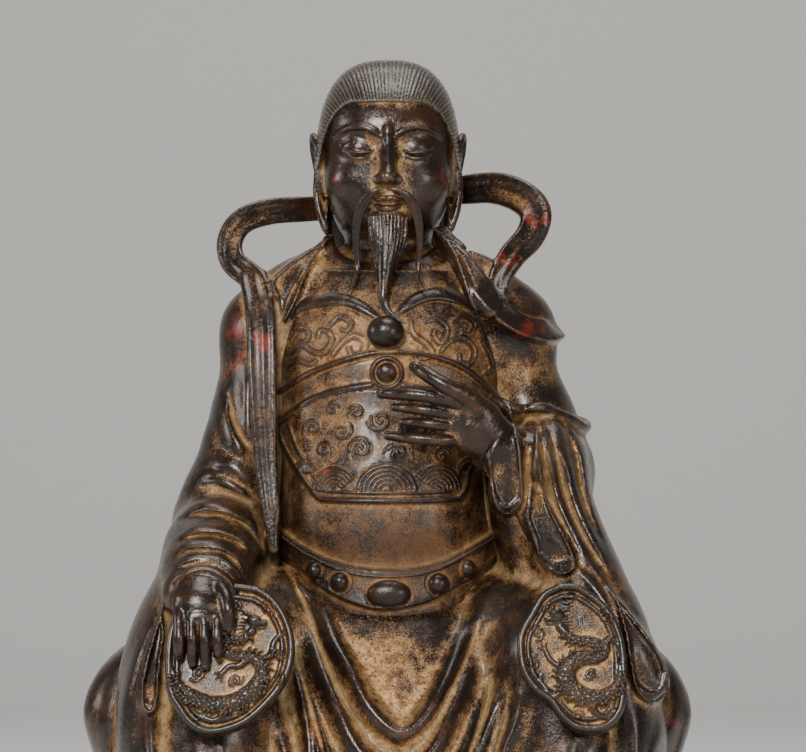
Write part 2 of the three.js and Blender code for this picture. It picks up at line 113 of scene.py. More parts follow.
# ---------------------------------------------------------------- robe, seat and plinth
# The robed body on its low plinth: one bronze casting from a wax that was built up in rolls and
# worked with a modelling tool. Here the wax is a block of cells that hold the distance to its surface.
FAR = 8.0
COARSE = 0.85
STEP = 0.48


def seen(*places):
    """Places in the front view, in steps from its upper left corner, as x and z in millimetres."""
    return [((px - 388) * STEP, (900 - py) * STEP) for px, py in places]


def curve(points, steps):
    """A smooth line through the points, resampled evenly."""
    p = np.array(points, float)
    if len(p) == 2:
        return p[0] + (p[1] - p[0]) * np.linspace(0, 1, steps + 1)[:, None]
    p = np.vstack([2 * p[0] - p[1], p, 2 * p[-1] - p[-2]])
    t = np.linspace(0, 1, 12, endpoint=False)[:, None]
    out = []
    for a, b, c, d in zip(p[:-3], p[1:-2], p[2:-1], p[3:]):
        square = (2 * a - 5 * b + 4 * c - d) * t**2
        out.append(0.5 * (2 * b + (c - a) * t + square + (3 * b - a - 3 * c + d) * t**3))
    out = np.vstack(out + [p[-2][None]])
    run = np.concatenate([[0], np.cumsum(np.linalg.norm(np.diff(out, axis=0), axis=1))])
    at = np.linspace(0, run[-1], steps + 1)
    return np.stack([np.interp(at, run, column) for column in out.T], 1)


def spread(values, count):
    """Values along a line, at `count` even places."""
    values = np.atleast_1d(np.array(values, float))
    if len(values) == 1:
        return np.full(count, values[0])
    at = np.linspace(0, len(values) - 1, count)
    low = np.minimum(at.astype(int), len(values) - 2)
    t = at - low
    t = t * t * (3 - 2 * t)
    return values[low] * (1 - t) + values[low + 1] * t


class Wax:
    """A block of wax: at each cell the distance to the surface, below nought inside."""

    def __init__(self, low, high, pitch):
        self.low = np.array(low, float)
        self.pitch = pitch
        count = np.ceil((np.array(high) - self.low) / pitch).astype(int) + 1
        self.field = np.full(count, FAR, np.float32)
        self.axes = [(self.low[k] + pitch * np.arange(count[k])).astype(np.float32) for k in range(3)]

    def window(self, low, high):
        first = np.floor((np.array(low) - self.low) / self.pitch)
        last = np.ceil((np.array(high) - self.low) / self.pitch) + 1
        first, last = (np.clip(v, 0, self.field.shape).astype(int) for v in (first, last))
        where = tuple(slice(a, b) for a, b in zip(first, last))
        x, y, z = (axis[part] for axis, part in zip(self.axes, where))
        return where, x[:, None, None], y[None, :, None], z[None, None, :]

    def add(self, form, blend=2.0):
        low, high, distance = form
        margin = max(blend, 4) + 2
        where, x, y, z = self.window(low - margin, high + margin)
        f = self.field[where]
        if f.size:
            d = distance(x, y, z)
            h = np.clip(0.5 + 0.5 * (f - d) / blend, 0, 1)
            self.field[where] = np.minimum(f + h * (d - f) - blend * h * (1 - h), FAR)
        return self

    def cut(self, form, blend=1.0):
        low, high, distance = form
        where, x, y, z = self.window(low - blend - 2, high + blend + 2)
        f = self.field[where]
        if f.size:
            d = -distance(x, y, z)
            h = np.clip(0.5 - 0.5 * (f - d) / blend, 0, 1)
            self.field[where] = np.clip(f + h * (d - f) + blend * h * (1 - h), -FAR, FAR)
        return self

    def depth(self, axis=1, back=False):
        """The cell where each straight look along an axis first meets the wax."""
        inside = self.field < 0
        if back:
            inside = np.flip(inside, axis)
        first = inside.argmax(axis)
        first = np.where(inside.any(axis), first, self.field.shape[axis])
        return first

    def press(self, drawing, axis=1, back=False, skin=3.0):
        """Raises and sinks the surface that is seen along an axis by a drawing's heights."""
        heights = drawing.heights()
        columns = np.argwhere(heights != 0)
        if not len(columns):
            return
        (a0, b0), (a1, b1) = columns.min(0), columns.max(0) + 1
        heights = heights[a0:a1, b0:b1]
        other = [k for k in range(3) if k != axis]
        where = [slice(None)] * 3
        where[other[0]], where[other[1]] = slice(a0, a1), slice(b0, b1)
        block = np.moveaxis(self.field[tuple(where)], axis, -1)
        if back:
            block = block[..., ::-1]
        inside = block < 0
        first = np.where(inside.any(-1), inside.argmax(-1), block.shape[-1])
        run = np.arange(block.shape[-1])
        share = np.clip(1 - ((run - first[..., None]) * self.pitch - skin) / 4, 0, 1)
        block -= (heights[..., None] * share).astype(np.float32)

    def surface(self, x, z):
        """The depth of the surface at a place in the front view."""
        i = int(np.clip(round((x - self.low[0]) / self.pitch), 0, self.field.shape[0] - 1))
        k = int(np.clip(round((z - self.low[2]) / self.pitch), 0, self.field.shape[2] - 1))
        inside = self.field[i, :, k] < 0
        return self.axes[1][inside.argmax()] if inside.any() else 0.0

    def laid(self, line, proud=0.0):
        """A line drawn in the front view, laid on the wax."""
        return [(x, self.surface(x, z) - proud, z) for x, z in line]


def outside(line, u, v):
    """How far each place lies outside a closed line, below nought inside."""
    away = np.full(np.broadcast_shapes(u.shape, v.shape), 1e6)
    inside = np.zeros(away.shape, bool)
    for p, q in zip(line[:-1], line[1:]):
        way = q - p
        t = np.clip(((u - p[0]) * way[0] + (v - p[1]) * way[1]) / max(way @ way, 1e-9), 0, 1)
        away = np.minimum(away, (u - p[0] - t * way[0]) ** 2 + (v - p[1] - t * way[1]) ** 2)
        if p[1] != q[1]:
            crossed = (p[1] > v) != (q[1] > v)
            inside ^= crossed & (u < (q[0] - p[0]) * (v - p[1]) / (q[1] - p[1]) + p[0])
    return np.where(inside, -1, 1) * np.sqrt(away)


class Drawing:
    """Heights to be pressed into a wax along one of its axes."""

    def __init__(self, wax, axis=1):
        self.u, self.v = (wax.axes[k] for k in range(3) if k != axis)
        self.pitch = wax.pitch
        self.up = np.zeros((len(self.u), len(self.v)), np.float32)
        self.down = np.zeros_like(self.up)

    def heights(self):
        return self.up + self.down

    def stroke(self, line, width, height, form="fold", lean=0.0, smooth=True):
        """A ridge, or with a height below nought a groove, along a line."""
        line = np.array(line, float)
        length = np.linalg.norm(np.diff(line, axis=0), axis=1).sum()
        steps = max(2, int(length / 1.6))
        line = curve(line, steps) if smooth else line
        steps = len(line) - 1
        widths, tall = spread(width, steps + 1), spread(height, steps + 1)
        sink = tall.sum() < 0
        for i in range(steps):
            p, q = line[i], line[i + 1]
            reach = max(widths[i], widths[i + 1]) * (1 + abs(lean)) + self.pitch
            a = slice(*np.searchsorted(self.u, [min(p[0], q[0]) - reach, max(p[0], q[0]) + reach]))
            b = slice(*np.searchsorted(self.v, [min(p[1], q[1]) - reach, max(p[1], q[1]) + reach]))
            u, v = self.u[a, None] - p[0], self.v[None, b] - p[1]
            if not u.size or not v.size:
                continue
            way = q - p
            t = np.clip((u * way[0] + v * way[1]) / max(way @ way, 1e-9), 0, 1)
            du, dv = u - t * way[0], v - t * way[1]
            w = widths[i] + (widths[i + 1] - widths[i]) * t
            if lean:
                w = w * (1 + lean * np.sign(du * way[1] - dv * way[0]))
            s = np.clip(np.sqrt(du * du + dv * dv) / w, 0, 1)
            if form == "fold":
                shape = (1 - s * s) ** 2
            elif form == "bead":
                shape = np.sqrt(1 - s * s)
            elif form == "cut":
                shape = (1 - s) ** 2
            else:
                shape = np.clip((1 - s) * 2.5, 0, 1)
            value = (tall[i] + (tall[i + 1] - tall[i]) * t) * shape
            if sink:
                np.minimum(self.down[a, b], value, out=self.down[a, b])
            else:
                np.maximum(self.up[a, b], value, out=self.up[a, b])
        return self

    def dot(self, centre, radius, height, form="bead"):
        return self.stroke([centre, (centre[0] + 0.01, centre[1])], radius, height, form, smooth=False)

    def fill(self, outline, height, edge=1.5, steps=90):
        """Raises the ground inside a closed outline, rounded off towards its edge."""
        line = curve(list(outline) + [outline[0]], steps)
        low, high = line.min(0), line.max(0)
        a = slice(*np.searchsorted(self.u, [low[0], high[0]]))
        b = slice(*np.searchsorted(self.v, [low[1], high[1]]))
        away = outside(line, self.u[a, None], self.v[None, b])
        rise = np.clip(-away / edge, 0, 1)
        value = height * np.sqrt(1 - (1 - rise) ** 2)
        if height < 0:
            np.minimum(self.down[a, b], value, out=self.down[a, b])
        else:
            np.maximum(self.up[a, b], value, out=self.up[a, b])
        return self

    def spiral(self, centre, radius, start, turns, width, height, form="fold"):
        """A curl that winds in to its centre."""
        t = np.linspace(0, 1, max(10, int(14 * abs(turns))))
        angle = np.radians(start) + 2 * np.pi * turns * t
        r = radius * (1 - 0.86 * t)
        line = np.stack([centre[0] + r * np.cos(angle), centre[1] + r * np.sin(angle)], 1)
        return self.stroke(line, width, height, form)


def turned(turn):
    ax, ay, az = np.radians(turn)
    about_x = np.array([[1, 0, 0], [0, np.cos(ax), -np.sin(ax)], [0, np.sin(ax), np.cos(ax)]])
    about_y = np.array([[np.cos(ay), 0, np.sin(ay)], [0, 1, 0], [-np.sin(ay), 0, np.cos(ay)]])
    about_z = np.array([[np.cos(az), -np.sin(az), 0], [np.sin(az), np.cos(az), 0], [0, 0, 1]])
    return about_z @ about_y @ about_x


def egg(centre, radii, turn=(0, 0, 0)):
    """A ball with its own radius along each axis, turned about X, Y and Z in degrees."""
    c, r, m = np.array(centre, float), np.array(radii, float), turned(turn).astype(np.float32)
    reach = np.abs(m) @ r

    def distance(x, y, z):
        x, y, z = x - c[0], y - c[1], z - c[2]
        u = [x * m[0, k] + y * m[1, k] + z * m[2, k] for k in range(3)]
        q = np.sqrt(sum((u[k] / r[k]) ** 2 for k in range(3)) + 1e-6)
        d = np.sqrt(x * x + y * y + z * z + 1e-6)
        return (d - d / q).astype(np.float32)

    return c - reach, c + reach, distance


def roll(points, wide, thick=None, face=(0, -1, 0), steps=None, fullness=2.0):
    """A roll along a smooth line: `wide` across the way it faces, `thick` along it."""
    steps = steps or 6 * (len(points) - 1)
    line = curve(points, steps)
    a = spread(wide, steps + 1)
    b = a if thick is None else spread(thick, steps + 1)
    tangent = np.gradient(line, axis=0)
    tangent /= np.linalg.norm(tangent, axis=1)[:, None]
    across = np.cross(tangent, np.broadcast_to(np.array(face, float), line.shape))
    across /= np.maximum(np.linalg.norm(across, axis=1), 1e-6)[:, None]
    reach = max(a.max(), b.max())

    def distance(x, y, z):
        out = np.full((x.size, y.size, z.size), 3 * FAR, np.float32)
        for i in range(steps):
            p, q = line[i], line[i + 1]
            margin = max(a[i], b[i], a[i + 1], b[i + 1]) + FAR + 2
            low, high = np.minimum(p, q) - margin, np.maximum(p, q) + margin
            sx = slice(*np.searchsorted(x[:, 0, 0], [low[0], high[0]]))
            sy = slice(*np.searchsorted(y[0, :, 0], [low[1], high[1]]))
            sz = slice(*np.searchsorted(z[0, 0, :], [low[2], high[2]]))
            px, py, pz = (v.astype(np.float32) for v in (x[sx] - p[0], y[:, sy] - p[1], z[:, :, sz] - p[2]))
            if 0 in (px.size, py.size, pz.size):
                continue
            way = (q - p).astype(np.float32)
            length = way @ way
            t = np.clip((px * way[0] + py * way[1] + pz * way[2]) / length, 0, 1)
            dx, dy, dz = px - t * way[0], py - t * way[1], pz - t * way[2]
            ahead = way / np.sqrt(length)
            side = (across[i] + across[i + 1]).astype(np.float32)
            side -= ahead * (side @ ahead)
            side /= max(np.linalg.norm(side), 1e-6)
            up = np.cross(side, ahead)
            u = dx * side[0] + dy * side[1] + dz * side[2]
            v = dx * up[0] + dy * up[1] + dz * up[2]
            ra = np.float32(a[i]) + np.float32(a[i + 1] - a[i]) * t
            rb = np.float32(b[i]) + np.float32(b[i + 1] - b[i]) * t
            rc = np.minimum(ra, rb)
            square = dx * dx + dy * dy + dz * dz
            ends = np.maximum(square - u * u - v * v, 0) / (rc * rc)
            if fullness == 2.0:
                g = np.sqrt((u / ra) ** 2 + (v / rb) ** 2 + ends + 1e-6)
            else:
                g = (np.abs(u / ra) ** fullness + np.abs(v / rb) ** fullness + ends ** (fullness / 2) + 1e-6)
                g = g ** np.float32(1 / fullness)
            d = np.sqrt(square + 1e-6)
            here = out[sx, sy, sz]
            np.minimum(here, d - d / g, out=here)
        return out

    return line.min(0) - reach, line.max(0) + reach, distance


def drum(levels, fullness=2.3, inset=0.0):
    """A body built up in level rings: height, half width, reach to the front, reach to the back."""
    table = np.array(levels, float)
    rise = table[:, 0]
    slope = np.gradient(table[:, 1:], rise, axis=0)

    def at(height):
        k = np.clip(np.searchsorted(rise, height) - 1, 0, len(rise) - 2)
        h = (rise[k + 1] - rise[k])[:, None]
        s = np.clip((height - rise[k])[:, None] / h, 0, 1)
        start, end = table[k, 1:], table[k + 1, 1:]
        out = (2 * s**3 - 3 * s**2 + 1) * start + (3 * s**2 - 2 * s**3) * end
        out += (s**3 - 2 * s**2 + s) * h * slope[k] + (s**3 - s**2) * h * slope[k + 1]
        return (out - inset).astype(np.float32).T[:, None, None, :]

    def distance(x, y, z):
        half, front, back = at(z[0, 0])
        depth = np.where(y < 0, front, back)
        q = (np.abs(x) / half) ** fullness + (np.abs(y) / depth) ** fullness + np.float32(1e-6)
        q = q ** np.float32(1 / fullness)
        r = np.sqrt(x**2 + y**2 + np.float32(1e-4))
        cap = np.maximum(z - rise[-1], rise[0] - z)
        return np.maximum(r - r / q, cap).astype(np.float32)

    half, front, back = table[:, 1:].max(0)
    return np.array([-half, -front, rise[0]]), np.array([half, back, rise[-1]]), distance


def slab(low, high, corner, edge):
    """A flat slab with rounded corners in plan and rounded edges."""
    low, high = np.array(low, float), np.array(high, float)
    middle, half = (low + high) / 2, (high - low) / 2

    def distance(x, y, z):
        u, v = np.abs(x - middle[0]) - half[0] + corner, np.abs(y - middle[1]) - half[1] + corner
        plan = np.sqrt(np.maximum(u, 0) ** 2 + np.maximum(v, 0) ** 2) + np.minimum(np.maximum(u, v), 0)
        plan = plan - corner + edge
        lift = np.abs(z - middle[2]) - half[2] + edge
        out = np.sqrt(np.maximum(plan, 0) ** 2 + np.maximum(lift, 0) ** 2)
        return (out + np.minimum(np.maximum(plan, lift), 0) - edge).astype(np.float32)

    return low, high, distance


SEAT = [
    [10, 126, 76, 77],
    [46, 129, 68, 75],
    [74, 140, 60, 72],
    [90, 144, 54, 69],
    [104, 141, 48, 66],
    [118, 131, 45, 61],
    [130, 112, 42, 58],
    [150, 66, 36, 52],
]
LAP = [
    [10, 94, 113, 10],
    [44, 91, 104, 10],
    [80, 85, 94, 10],
    [108, 78, 83, 10],
    [132, 66, 68, 10],
    [146, 52, 57, 10],
]
TRUNK = [
    [130, 50, 48, 44],
    [156, 53, 56, 46],
    [178, 55, 60, 46],
    [204, 55, 56, 44],
    [236, 56, 49, 43],
    [266, 58, 44, 42],
    [288, 52, 35, 38],
    [305, 32, 24, 30],
    [310, 25, 15, 27],
    [316, 20, 9, 24],
]

robe = Wax((-153, -136, -2), (153, 90, 352), COARSE)
robe.add(drum(SEAT, 2.2), 3)
robe.add(drum(LAP, 2.5), 10)
for side in (-1, 1):
    robe.add(roll([(side * 40, 6, 136), (side * 63, -36, 128), (side * 81, -66, 120)], [33, 32, 29]), 8)
    shin = [(side * 81, -63, 112), (side * 81, -66, 70), (side * 80, -71, 8)]
    robe.add(roll(shin, [31, 32, 36], [35, 37, 43]), 10)
robe.add(drum(TRUNK, 2.3, inset=1.0), 6)
for side in (-1, 1):
    shoulder = [(side * 16, 4, 295), (side * 40, 2, 286), (side * 56, 2, 272)]
    robe.add(roll(shoulder, [17, 23, 24], [20, 26, 27]), 8)

# The right sleeve: elbow out, a gathered cuff on the thigh, and the long mouth falling beside the knee.
robe.add(roll([(-56, 2, 272), (-61, 2, 244), (-68, -2, 212), (-77, -6, 182)], [23, 21, 23, 26], [26, 28, 29, 29]), 6)
robe.add(roll([(-77, -8, 176), (-83, -44, 166), (-85, -70, 156), (-86, -86, 149)], [26, 25, 23, 20], [24, 24, 21, 16], face=(0, 0, 1)), 4)
fall = [(-82, -34, 174), (-96, -40, 148), (-108, -46, 120), (-113, -46, 80), (-110, -42, 10)]
robe.add(roll(fall, [15, 17, 16, 15, 13], [28, 38, 46, 48, 46]), 6)

# The left sleeve: a short flared oversleeve, the forearm across the chest, and the fall from it.
robe.add(roll([(56, 2, 272), (62, 4, 250), (70, 2, 226), (76, -4, 202)], [23, 20, 22, 22], [26, 27, 29, 29]), 6)
robe.add(roll([(78, -8, 207), (71, -42, 208), (60, -64, 213), (50, -71, 217)], [21, 19, 15, 12.5], [22, 20, 16, 12], face=(0, 0, 1)), 4)
fall = [(74, -26, 214), (77, -32, 184), (92, -40, 150), (106, -46, 122), (113, -46, 80), (110, -42, 10)]
robe.add(roll(fall, [18, 22, 21, 18, 15, 13], [28, 36, 40, 46, 48, 46]), 6)
robe.add(roll([(56, -40, 212), (60, -36, 190), (66, -30, 158)], [11, 13, 12], [20, 24, 24]), 4)

def folds(drawing, table, form="fold"):
    """Draws a table of folds: width, height, lean and the line in the front view."""
    for width, height, lean, *line in table:
        drawing.stroke(seen(*line), width, height, form, lean)
    return drawing


# Folds of the right sleeve, drawn as they are seen from the front: crests first, then the creases.
TAPER = np.array([0.25, 1.0, 1.0, 0.25])
cloth = Drawing(robe)
folds(
    cloth,
    [
        (7, 2.6 * TAPER, 0.3, (221, 391), (228, 422), (242, 449), (250, 463)),
        (4, 1.6 * TAPER, 0, (247, 372), (248, 410), (250, 444)),
        (7, 2.4 * TAPER, -0.3, (206, 470), (214, 465), (231, 466), (245, 476), (258, 492)),
        (7, 2.6 * TAPER, -0.3, (196, 487), (203, 480), (219, 479), (239, 487), (258, 500)),
        (8, 3.0 * TAPER, -0.3, (190, 510), (203, 503), (222, 504), (241, 512), (260, 530)),
        (5.5, 2.8 * TAPER, -0.3, (178, 545), (188, 532), (205, 526), (228, 529), (247, 540), (258, 562)),
        (5, 2.6 * TAPER, -0.3, (172, 562), (182, 548), (200, 541), (223, 544), (242, 556), (252, 578)),
        (5, 2.6 * TAPER, -0.3, (168, 578), (178, 563), (195, 554), (213, 552), (231, 557), (245, 572), (250, 592)),
        (4.5, 2.4 * TAPER, -0.3, (168, 592), (176, 577), (192, 567), (210, 563), (228, 570), (239, 583), (243, 599)),
        (6, 3.2 * TAPER, 0, (176, 580), (162, 611), (148, 644), (137, 677), (128, 713), (125, 760), (124, 850)),
        (4, 2.4 * TAPER, 0, (166, 596), (153, 628), (142, 660), (135, 690), (132, 730), (131, 800)),
        (7, 2.6 * TAPER, 0, (140, 625), (122, 662), (113, 700), (108, 740), (108, 860)),
        (8, 2.4 * TAPER, 0, (152, 720), (156, 760), (156, 860)),
    ],
)
# Folds of the left sleeve below the oversleeve.
folds(
    cloth,
    [
        (4.5, 3.0 * TAPER, 0.2, (528, 414), (533, 440), (536, 470), (539, 494), (548, 516), (561, 538)),
        (5.5, 3.4 * TAPER, 0.2, (544, 428), (552, 471), (560, 505), (574, 535), (590, 562), (604, 584)),
        (5, 3.6 * TAPER, 0.2, (552, 416), (560, 440), (566, 463), (572, 486), (582, 514), (596, 541), (610, 564), (622, 588)),
        (6, 3.2 * TAPER, 0.2, (571, 422), (581, 452), (584, 480), (589, 506), (601, 538), (618, 570), (634, 600)),
        (5, 2.8 * TAPER, 0, (572, 560), (590, 580), (605, 602), (616, 630), (622, 660)),
        (7, 2.6 * TAPER, 0, (640, 700), (634, 740), (632, 860)),
        (7, 2.6 * TAPER, 0, (612, 730), (608, 780), (606, 870)),
    ],
)
# The lap: cloth that hangs in deep curves between the knees, and breaks over the shins to the hem.
folds(
    cloth,
    [
        (9, 5.5 * TAPER, 0.25, (296, 572), (318, 600), (334, 634), (352, 664), (372, 700), (398, 722), (420, 712), (441, 680), (458, 645), (474, 612), (482, 598)),
        (9, 5.0 * TAPER, 0.25, (306, 622), (322, 662), (340, 702), (362, 742), (396, 764), (430, 742), (452, 702), (470, 664), (482, 640)),
        (9, 5.0 * TAPER, 0.25, (298, 662), (312, 700), (330, 750), (356, 800), (394, 822), (436, 792), (464, 740), (480, 696), (489, 668)),
        (9, 5.0 * TAPER, 0.25, (296, 720), (310, 780), (344, 850), (394, 876), (444, 842), (484, 770), (500, 700)),
        (6, 3.4 * TAPER, 0, (286, 634), (298, 664), (304, 692), (310, 730), (312, 790), (306, 870)),
        (7, 3.6 * TAPER, 0, (276, 699), (286, 730), (290, 780), (286, 868)),
        (7, 3.2 * TAPER, 0, (228, 742), (240, 790), (244, 868)),
        (7, 3.0 * TAPER, 0, (200, 744), (206, 800), (206, 868)),
        (6, 3.2 * TAPER, 0, (496, 660), (492, 699), (478, 752), (474, 800), (478, 868)),
        (7, 3.6 * TAPER, 0, (519, 690), (511, 718), (500, 757), (498, 868)),
        (7, 3.2 * TAPER, 0, (566, 742), (554, 790), (550, 868)),
        (7, 3.0 * TAPER, 0, (602, 727), (594, 770), (588, 868)),
    ],
)
# The robe where it swells over the seat at either side.
folds(
    cloth,
    [
        (9, 3.0 * TAPER, 0, (120, 655), (98, 680), (88, 710), (90, 750), (100, 800), (112, 868)),
        (7, 2.6 * TAPER, 0, (128, 672), (110, 705), (105, 740), (110, 800), (122, 868)),
        (7, 3.0 * TAPER, 0, (662, 655), (676, 680), (676, 712), (664, 745), (650, 800), (640, 868)),
        (7, 2.8 * TAPER, 0, (680, 672), (690, 700), (684, 738), (668, 790), (662, 868)),
        (7, 2.6 * TAPER, 0, (668, 700), (656, 728), (644, 752), (632, 800)),
    ],
)
folds(
    cloth,
    [
        (2.4, -2.6 * TAPER, 0, (182, 519), (201, 513), (226, 514), (248, 524), (262, 544)),
        (2.2, -2.4 * TAPER, 0, (178, 541), (194, 535), (216, 533), (240, 539), (254, 553)),
        (2.2, -2.4 * TAPER, 0, (174, 560), (188, 551), (208, 548), (229, 551), (244, 566), (250, 584)),
        (2.2, -2.4 * TAPER, 0, (171, 579), (184, 566), (202, 560), (221, 562), (237, 574), (243, 592)),
        (2.6, -2.4 * TAPER, 0, (200, 495), (224, 492), (246, 501), (262, 520)),
        (2.4, -2.0 * TAPER, 0, (206, 478), (224, 475), (244, 485), (260, 500)),
        (3.0, -2.4 * TAPER, 0, (230, 396), (236, 424), (250, 450)),
        (2.6, -2.8 * TAPER, 0, (545, 424), (556, 464), (564, 496), (578, 530), (594, 558), (612, 586)),
        (2.4, -2.4 * TAPER, 0, (537, 420), (543, 460), (549, 496), (562, 524), (576, 548)),
        (2.6, -2.6 * TAPER, 0, (562, 420), (574, 454), (579, 484), (588, 516), (604, 546), (624, 582)),
        (2.4, -2.2 * TAPER, 0, (586, 566), (606, 590), (630, 614), (650, 636)),
        (2.6, -2.4 * TAPER, 0, (284, 560), (307, 604), (322, 642), (340, 684), (362, 716), (396, 740)),
        (2.6, -2.4 * TAPER, 0, (402, 738), (432, 716), (454, 676), (472, 636), (480, 616)),
        (3.0, -2.6 * TAPER, 0, (291, 628), (303, 668), (316, 712), (330, 760), (344, 812)),
        (3.0, -2.6 * TAPER, 0, (492, 660), (484, 700), (468, 744), (448, 790)),
        (2.6, -2.2 * TAPER, 0, (508, 676), (503, 712), (492, 754), (488, 820)),
        (2.6, -2.2 * TAPER, 0, (283, 690), (296, 726), (300, 770), (300, 850)),
        (2.6, -2.4 * TAPER, 0, (166, 604), (152, 636), (142, 668), (133, 704), (129, 750), (128, 840)),
        (2.6, -2.2 * TAPER, 0, (150, 616), (132, 654), (121, 690), (117, 730), (117, 850)),
        (2.6, -2.4 * TAPER, 0, (672, 668), (684, 700), (677, 738), (662, 780), (654, 868)),
        (2.6, -2.4 * TAPER, 0, (654, 706), (648, 730), (640, 752), (630, 800)),
    ],
    "cut",
)
robe.press(cloth, skin=4)

def blurred(solid, cells):
    """A block averaged over a cube of cells, twice over."""
    for axis in (0, 1, 2, 0, 1, 2):
        run = np.cumsum(solid, axis=axis, dtype=np.float32)
        size = solid.shape[axis]
        last = np.minimum(np.arange(size) + cells, size - 1)
        first = np.arange(size) - cells - 1
        low = np.take(run, np.maximum(first, 0), axis=axis)
        shape = [1, 1, 1]
        shape[axis] = size
        low *= (first >= 0).reshape(shape)
        solid = (np.take(run, last, axis=axis) - low) / (2 * cells + 1)
    return solid


# The sides and the back, where the cloak falls in long even folds.
for back in (False, True):
    flank = Drawing(robe, axis=0)
    for y in (14, 29, 44, 59):
        flank.stroke([(y * 0.3 + 4, 200), (y * 0.7, 150), (y, 100), (y * 1.02, 12)], 7, 2.6 * TAPER)
    robe.press(flank, axis=0, back=back, skin=4)
cloak = Drawing(robe)
for i in range(-5, 6):
    x = 22 * i
    sway = 3 * math.sin(2.1 * i)
    line = [(x * 0.42, 268), (x * 0.5 + sway, 215), (x * 0.72 - sway, 160), (x * 0.98, 100), (x * 1.02 + sway, 12)]
    cloak.stroke(line, [4, 7, 9, 9, 9], 3.2 * TAPER, lean=0.25)
robe.press(cloak, back=True, skin=4)

# The walls that face sideways are rubbed smooth, which takes out what the strokes from the front
# left on them.
SIDE_START, SIDE_FULL = 92, 104
RUB = 2
for side in (-1, 1):
    part = np.flatnonzero(side * robe.axes[0] > SIDE_START - 8)
    wall = robe.field[part[0] : part[-1] + 1]
    soft = blurred(wall, RUB)
    slope = [np.abs(v) for v in np.gradient(soft)]
    share = np.clip((slope[0] - 0.9 * slope[1]) / (slope[0] + slope[1] + 1e-6) * 3, 0, 1)
    reach = np.clip((side * robe.axes[0][part] - SIDE_START) / (SIDE_FULL - SIDE_START), 0, 1)
    wall += share * reach[:, None, None] * (soft - wall)

robe.cut(slab((-180, -160, -40), (180, 120, 9), 2, 1), 1)
robe.add(slab((-134, -132, 0), (134, 84, 14), 36, 3), 1.5)

# Toes under the hem, over the plinth's front edge.
for side in (-1, 1):
    robe.add(egg((side * 52, -100, 19), (17, 26, 13)), 3)
    for i in range(5):
        x, tip = side * (40.4 + 5.8 * i), -126 + 1.8 * i
        size = 4.6 if i == 0 else 3.5
        robe.add(roll([(x, tip + 16, 20), (x, tip + 6, 19), (x, tip, 17)], [size, size, 0.85 * size]), 1.2)


def ribbon(wax, points, wide, thick, face=(0, -1, 0), ribs=(-0.8, 0, 0.8), rib=1.5, blend=1.5):
    """A band with rounded ribs along it on both faces."""
    steps = 7 * (len(points) - 1)
    wax.add(roll(points, wide, thick, face, steps, fullness=3.5), blend)
    line = curve(points, steps)
    tangent = np.gradient(line, axis=0)
    tangent /= np.linalg.norm(tangent, axis=1)[:, None]
    across = np.cross(tangent, np.broadcast_to(np.array(face, float), line.shape))
    across /= np.linalg.norm(across, axis=1)[:, None]
    out = np.cross(across, tangent)
    w, t = spread(wide, steps + 1)[:, None], spread(thick, steps + 1)[:, None]
    for share in ribs:
        for sign in (-1, 1):
            place = line + across * w * share * (1 - 0.5 * rib / w.max()) - out * sign * t * 0.78
            wax.add(roll(place[::3], rib, steps=len(place[::3]) * 2), 1.2)


# The scarf: a thick band that stands off behind the head in a loop over each shoulder. It falls down
# the chest on the right, and wraps under the arm on the left.
right_loop = [(-14, 30, 333), (-40, 21, 332), (-58, 14, 330.5), (-70.5, 7, 325.5), (-76, 2, 316), (-74, -3, 306), (-65, -12, 298), (-60.5, -24, 287)]
ribbon(robe, right_loop, [5.4, 5.8, 6.2, 6.4, 6.2, 6.2, 6.4, 7.0], 3.0, ribs=(-0.85, 0, 0.85), rib=1.2)
right_fall = [(-64, -12, 298), (-60.8, -26, 281), (-60, -33, 262), (-59.4, -37, 240), (-58, -40, 210), (-55.8, -43.5, 189), (-54.2, -46, 169)]
ribbon(robe, right_fall, [6.6, 7.2, 7.2, 6.4, 5.3, 4.2, 1.2], [3.6, 4.4, 4.6, 4.6, 4.4, 3.8, 2.6], ribs=(-0.85, -0.12, 0.85), rib=1.5)
left_loop = [(14, 30, 338), (34, 23, 341), (51.8, 16, 342), (65, 8, 337), (71, 2, 329), (68, -3, 318.5), (59.5, -9, 309), (53.4, -19, 298), (52.6, -30, 289)]
ribbon(robe, left_loop, [5.6, 6.4, 7.4, 8.0, 8.0, 7.2, 6.6, 5.6, 4.4], [3.0, 3.2, 3.2, 3.2, 3.2, 3.2, 3.2, 3.0, 2.4], ribs=(-0.85, -0.2, 0.85), rib=1.2)
left_wrap = [(25, -16, 320), (32.2, -27, 309.6), (37, -32, 302), (43, -37, 293), (52, -39, 282.5), (63.4, -35.5, 275), (74.9, -22, 272.4), (80, -2, 273)]
ribbon(robe, left_wrap, [3.4, 4.2, 4.8, 5.2, 5.6, 6.0, 6.0, 5.6], 2.8, face=(0.35, -1, 0.45), ribs=(-0.88, 0.88), rib=1.1)

